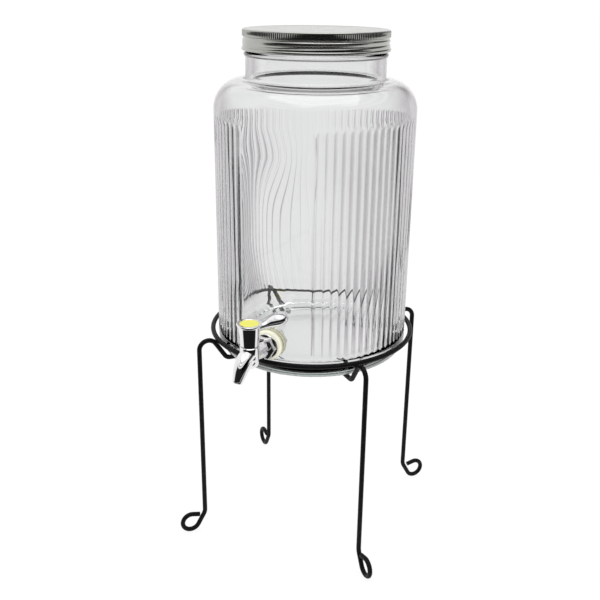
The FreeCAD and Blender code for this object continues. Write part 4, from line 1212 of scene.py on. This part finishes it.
class DISPENSER_OT_studio(bpy.types.Operator):
    """Lay the pale floor, set the light and the surroundings, and place the camera"""
    bl_idname = "dispenser.studio"
    bl_label = "Studio"

    FLOOR_SIZE = 60.0
    FLOOR_LEVEL = 1.03
    FLOOR_GLOW = 0.88  # share of the floor that glows by itself, so that shadows stay faint
    ROOM_CAST = (1.0, 0.93, 0.98, 1)
    PANEL_LEVEL = 0.885
    GAP_CHANGE = -0.43
    MATT_LEVEL = 0.95
    LAMP_SIZE = 1.6
    LAMP_POWER = 9.0
    LAMP_PLACE = Vector((0.1, -0.1, 1.9))
    LAMP_TARGET = Vector((0, 0, 0.3))
    # Ramps, as stops of (input, level). Gaps: by a number that is 0 ahead and aside and 0.25 on
    # the diagonals, and by depth
    GAPS = [(0.03, 0.0), (0.1, 1.0), (0.25, 0.5)]
    GAPS_BEHIND = [(-0.2, 0.4), (0.2, 1.0)]
    # Floor: gaps fade in by distance; in a mirror dark towards the camera, with a paler ring
    FLOOR_GAPS = [(0.2, 0.0), (0.45, 1.0)]
    FLOOR_DEPTH = [(-0.30, 0.012), (-0.23, 0.95)]
    FLOOR_RING = [(0.84, 0.0), (1.0, 0.45), (1.5, 0.45), (1.9, 0.0)]
    # Surroundings in a mirror: by depth, with a dim patch to the right and up, bands overhead
    SIDES = [(-1.0, 0.015), (-0.32, 0.02), (-0.16, 0.85), (1.0, 1.0)]
    DIM_RIGHT = [(0.2, 0.0), (0.4, 0.94)]
    DIM_UP = [(0.12, 0.0), (0.3, 1.0)]
    CEILING = [(0.6, 0.0), (0.65, 0.9), (0.7, 0.2), (0.76, 0.9), (0.81, 0.25), (0.88, 1.0),
               (0.94, 0.5), (1.0, 0.9)]
    CEILING_LEVEL = 1.4
    # Surroundings through glass: light from above
    GLASS_UP = [(0.08, 0.0), (0.4, 0.92)]

    def along(self, tree, vector, direction):
        """How far a vector reaches in one direction."""
        return add_node(tree, "VectorMath", {0: vector, 1: direction},
                        operation="DOT_PRODUCT").outputs["Value"]

    def ramp(self, tree, value, stops):
        """A value run through straight pieces between (input, output) stops."""
        low, high = stops[0][0], stops[-1][0]
        ramp = add_node(tree, "ValToRGB", {"Fac": map_range(tree, value, low, high)})
        marks = ramp.color_ramp.elements
        for place, (at, level) in enumerate(stops):
            spot = (at - low) / (high - low)
            mark = marks[place] if place < 2 else marks.new(spot)
            mark.position = spot
            mark.color = (level, level, level, 1)
        return ramp.outputs["Color"]

    def room(self, tree, vector, ahead):
        """Depth, side and level distance, and a mask of four gaps between white panels."""
        depth = self.along(tree, vector, ahead)
        aside = self.along(tree, vector, Vector((ahead.y, -ahead.x, 0)))
        far = math_node(tree, "MULTIPLY", depth, depth)
        level = math_node(tree, "MULTIPLY_ADD", aside, aside, far)
        share = math_node(tree, "DIVIDE", far, math_node(tree, "MAXIMUM", level, 1e-4))
        gap = math_node(tree, "MULTIPLY", share, math_node(tree, "SUBTRACT", 1.0, share))
        gap = math_node(tree, "MULTIPLY", self.ramp(tree, gap, self.GAPS),
                        self.ramp(tree, depth, self.GAPS_BEHIND))
        return depth, aside, math_node(tree, "SQRT", level), gap

    def ray_kinds(self, tree):
        """Masks for what the camera sees itself, in a mirror and through glass; matt bounces."""
        light = add_node(tree, "LightPath").outputs
        glass = light["Is Transmission Ray"]
        mirror = math_node(tree, "SUBTRACT", light["Is Glossy Ray"], glass)
        mirror = math_node(tree, "MAXIMUM", mirror, 0.0)
        return light["Is Camera Ray"], mirror, glass, light["Diffuse Depth"]

    def add_up(self, tree, *products):
        """Sum of products of two values each."""
        total = 0.0
        for one, other in products:
            total = math_node(tree, "MULTIPLY_ADD", one, other, total)
        return total

    def through_glass(self, tree, gap, glass):
        """Level of what is seen through glass, and its colour: lilac in the gaps."""
        level = math_node(tree, "MULTIPLY_ADD", gap, self.GAP_CHANGE, self.PANEL_LEVEL)
        mask = math_node(tree, "MULTIPLY", gap, glass)
        return level, mix_colours(tree, mask, WHITE, self.ROOM_CAST)

    def floor(self, ahead):
        """White floor with a faint shadow; in a mirror or through glass it darkens outwards."""
        deselect_all()
        bpy.ops.mesh.primitive_plane_add(size=self.FLOOR_SIZE)
        floor = named("studio_floor")
        finish = Finish("Pale floor", roughness=0.9, specular_ior_level=0.0,
                        base_color=(0.9, 0.9, 0.9, 1))
        finish.material.cycles.emission_sampling = "NONE"
        tree = finish.tree
        coords = add_node(tree, "TexCoord")
        depth, _, distance, gap = self.room(tree, coords.outputs["Object"], ahead)
        gap = math_node(tree, "MULTIPLY", gap, self.ramp(tree, distance, self.FLOOR_GAPS))
        mirrored = math_node(tree, "MAXIMUM", self.ramp(tree, depth, self.FLOOR_DEPTH),
                             self.ramp(tree, distance, self.FLOOR_RING))
        direct, mirror, glass, _ = self.ray_kinds(tree)
        through, tint = self.through_glass(tree, gap, glass)
        strength = self.add_up(tree, (mirror, mirrored), (glass, through),
                               (direct, self.FLOOR_LEVEL))
        glow = add_node(tree, "Emission", {"Strength": strength, "Color": tint})
        share = math_node(tree, "MULTIPLY", direct, self.FLOOR_GLOW)
        for kind in (mirror, glass):
            share = math_node(tree, "MAXIMUM", share, kind)
        matt = tree.nodes["Principled BSDF"].outputs["BSDF"]
        mix = add_node(tree, "MixShader", {"Fac": share, 1: matt, 2: glow.outputs["Emission"]})
        feed(tree, tree.nodes["Material Output"].inputs["Surface"], mix.outputs["Shader"])
        floor.data.materials.append(finish.material)

    def world(self, ahead):
        """White behind the object, dark round the camera; plain even light for what is matt."""
        world = bpy.data.worlds.new("Studio")
        bpy.context.scene.world = world
        world.use_nodes = True
        world.cycles.sampling_method = "NONE"
        tree = world.node_tree
        vector = add_node(tree, "TexCoord").outputs["Generated"]
        depth, aside, _, gap = self.room(tree, vector, ahead)
        height = self.along(tree, vector, UP)
        dim = math_node(tree, "MULTIPLY", self.ramp(tree, aside, self.DIM_RIGHT),
                        self.ramp(tree, height, self.DIM_UP))
        sides = math_node(tree, "MULTIPLY", self.ramp(tree, depth, self.SIDES),
                          math_node(tree, "SUBTRACT", 1.0, dim))
        above = math_node(tree, "MULTIPLY", self.ramp(tree, height, self.CEILING),
                          self.CEILING_LEVEL)
        mirrored = math_node(tree, "MAXIMUM", sides, above)
        direct, mirror, glass, bounces = self.ray_kinds(tree)
        through, tint = self.through_glass(tree, gap, glass)
        through = math_node(tree, "MAXIMUM", through, self.ramp(tree, height, self.GLASS_UP))
        strength = self.add_up(tree, (mirror, mirrored), (glass, through), (direct, 1.0))
        matt = math_node(tree, "MINIMUM", bounces, self.MATT_LEVEL)
        background = tree.nodes["Background"].inputs
        feed(tree, background["Strength"], math_node(tree, "MAXIMUM", strength, matt))
        feed(tree, background["Color"], tint)

    def softbox(self):
        """One soft light overhead, for the faint shadow."""
        data = bpy.data.lights.new("Top softbox", "AREA")
        data.shape = "RECTANGLE"
        data.size = data.size_y = self.LAMP_SIZE
        data.energy = self.LAMP_POWER
        lamp = bpy.data.objects.new("Top softbox", data)
        lamp.location = self.LAMP_PLACE
        aim = self.LAMP_TARGET - self.LAMP_PLACE
        lamp.rotation_euler = aim.to_track_quat("-Z", "Y").to_euler()
        bpy.context.scene.collection.objects.link(lamp)

    def camera(self, sizes):
        """Set the camera; gives the level direction in which it looks."""
        ahead = Vector((-math.sin(sizes.heading), math.cos(sizes.heading), 0))
        right = Vector((math.cos(sizes.heading), math.sin(sizes.heading), 0))
        view = ahead * math.cos(sizes.pitch) - UP * math.sin(sizes.pitch)
        up = right.cross(view)
        tilt_right = right * math.cos(sizes.roll) + up * math.sin(sizes.roll)
        tilt_up = up * math.cos(sizes.roll) - right * math.sin(sizes.roll)
        data = bpy.data.cameras.new("Camera")
        data.lens = sizes.lens
        data.sensor_width = 36.0
        camera = bpy.data.objects.new("Camera", data)
        turn = Matrix((tilt_right, tilt_up, -view)).transposed().to_4x4()
        place = plane_point(sizes.camera_azimuth - math.pi / 2, sizes.camera_distance,
                            sizes.camera_height)
        camera.matrix_world = Matrix.Translation(place) @ turn
        bpy.context.scene.collection.objects.link(camera)
        bpy.context.scene.camera = camera
        return ahead

    def execute(self, context):
        ahead = self.camera(context.scene.dispenser_studio)
        self.world(ahead)
        self.floor(ahead)
        self.softbox()
        context.scene.view_settings.view_transform = "Standard"
        return {"FINISHED"}


class DISPENSER_PT_panel(bpy.types.Panel):
    """Lists the dispenser's pieces and sizes"""
    bl_label = "Drink Dispenser"
    bl_idname = "DISPENSER_PT_panel"
    bl_space_type = "VIEW_3D"
    bl_region_type = "UI"
    bl_category = "Dispenser"

    def draw(self, context):
        for operator in OPERATORS:
            self.layout.operator(operator.bl_idname)
        for name in GROUPS:
            box = self.layout.box()
            group = getattr(context.scene, name)
            for field in group.__annotations__:
                box.prop(group, field)


GROUPS = {
    "dispenser_stand": StandSizes,
    "dispenser_jar": JarSizes,
    "dispenser_lid": LidSizes,
    "dispenser_tap": TapSizes,
    "dispenser_studio": StudioSizes,
}
OPERATORS = (
    DISPENSER_OT_wire_stand,
    DISPENSER_OT_glass_jar,
    DISPENSER_OT_screw_lid,
    DISPENSER_OT_tap_body,
    DISPENSER_OT_tap_handle,
    DISPENSER_OT_tap_seals,
    DISPENSER_OT_small_parts,
    DISPENSER_OT_studio,
)


def register():
    for name, group in GROUPS.items():
        bpy.utils.register_class(group)
        setattr(bpy.types.Scene, name, bpy.props.PointerProperty(type=group))
    for operator in OPERATORS:
        bpy.utils.register_class(operator)
    bpy.utils.register_class(DISPENSER_PT_panel)


def unregister():
    bpy.utils.unregister_class(DISPENSER_PT_panel)
    for operator in reversed(OPERATORS):
        bpy.utils.unregister_class(operator)
    for name, group in GROUPS.items():
        delattr(bpy.types.Scene, name)
        bpy.utils.unregister_class(group)


def main():
    register()
    bpy.ops.dispenser.wire_stand()
    bpy.ops.dispenser.glass_jar()
    bpy.ops.dispenser.screw_lid()
    bpy.ops.dispenser.tap_body()
    bpy.ops.dispenser.tap_handle()
    bpy.ops.dispenser.tap_seals()
    bpy.ops.dispenser.small_parts()
    bpy.ops.dispenser.studio()
    leave_edit()
    bpy.context.view_layer.update()


if __name__ == "__main__":
    main()
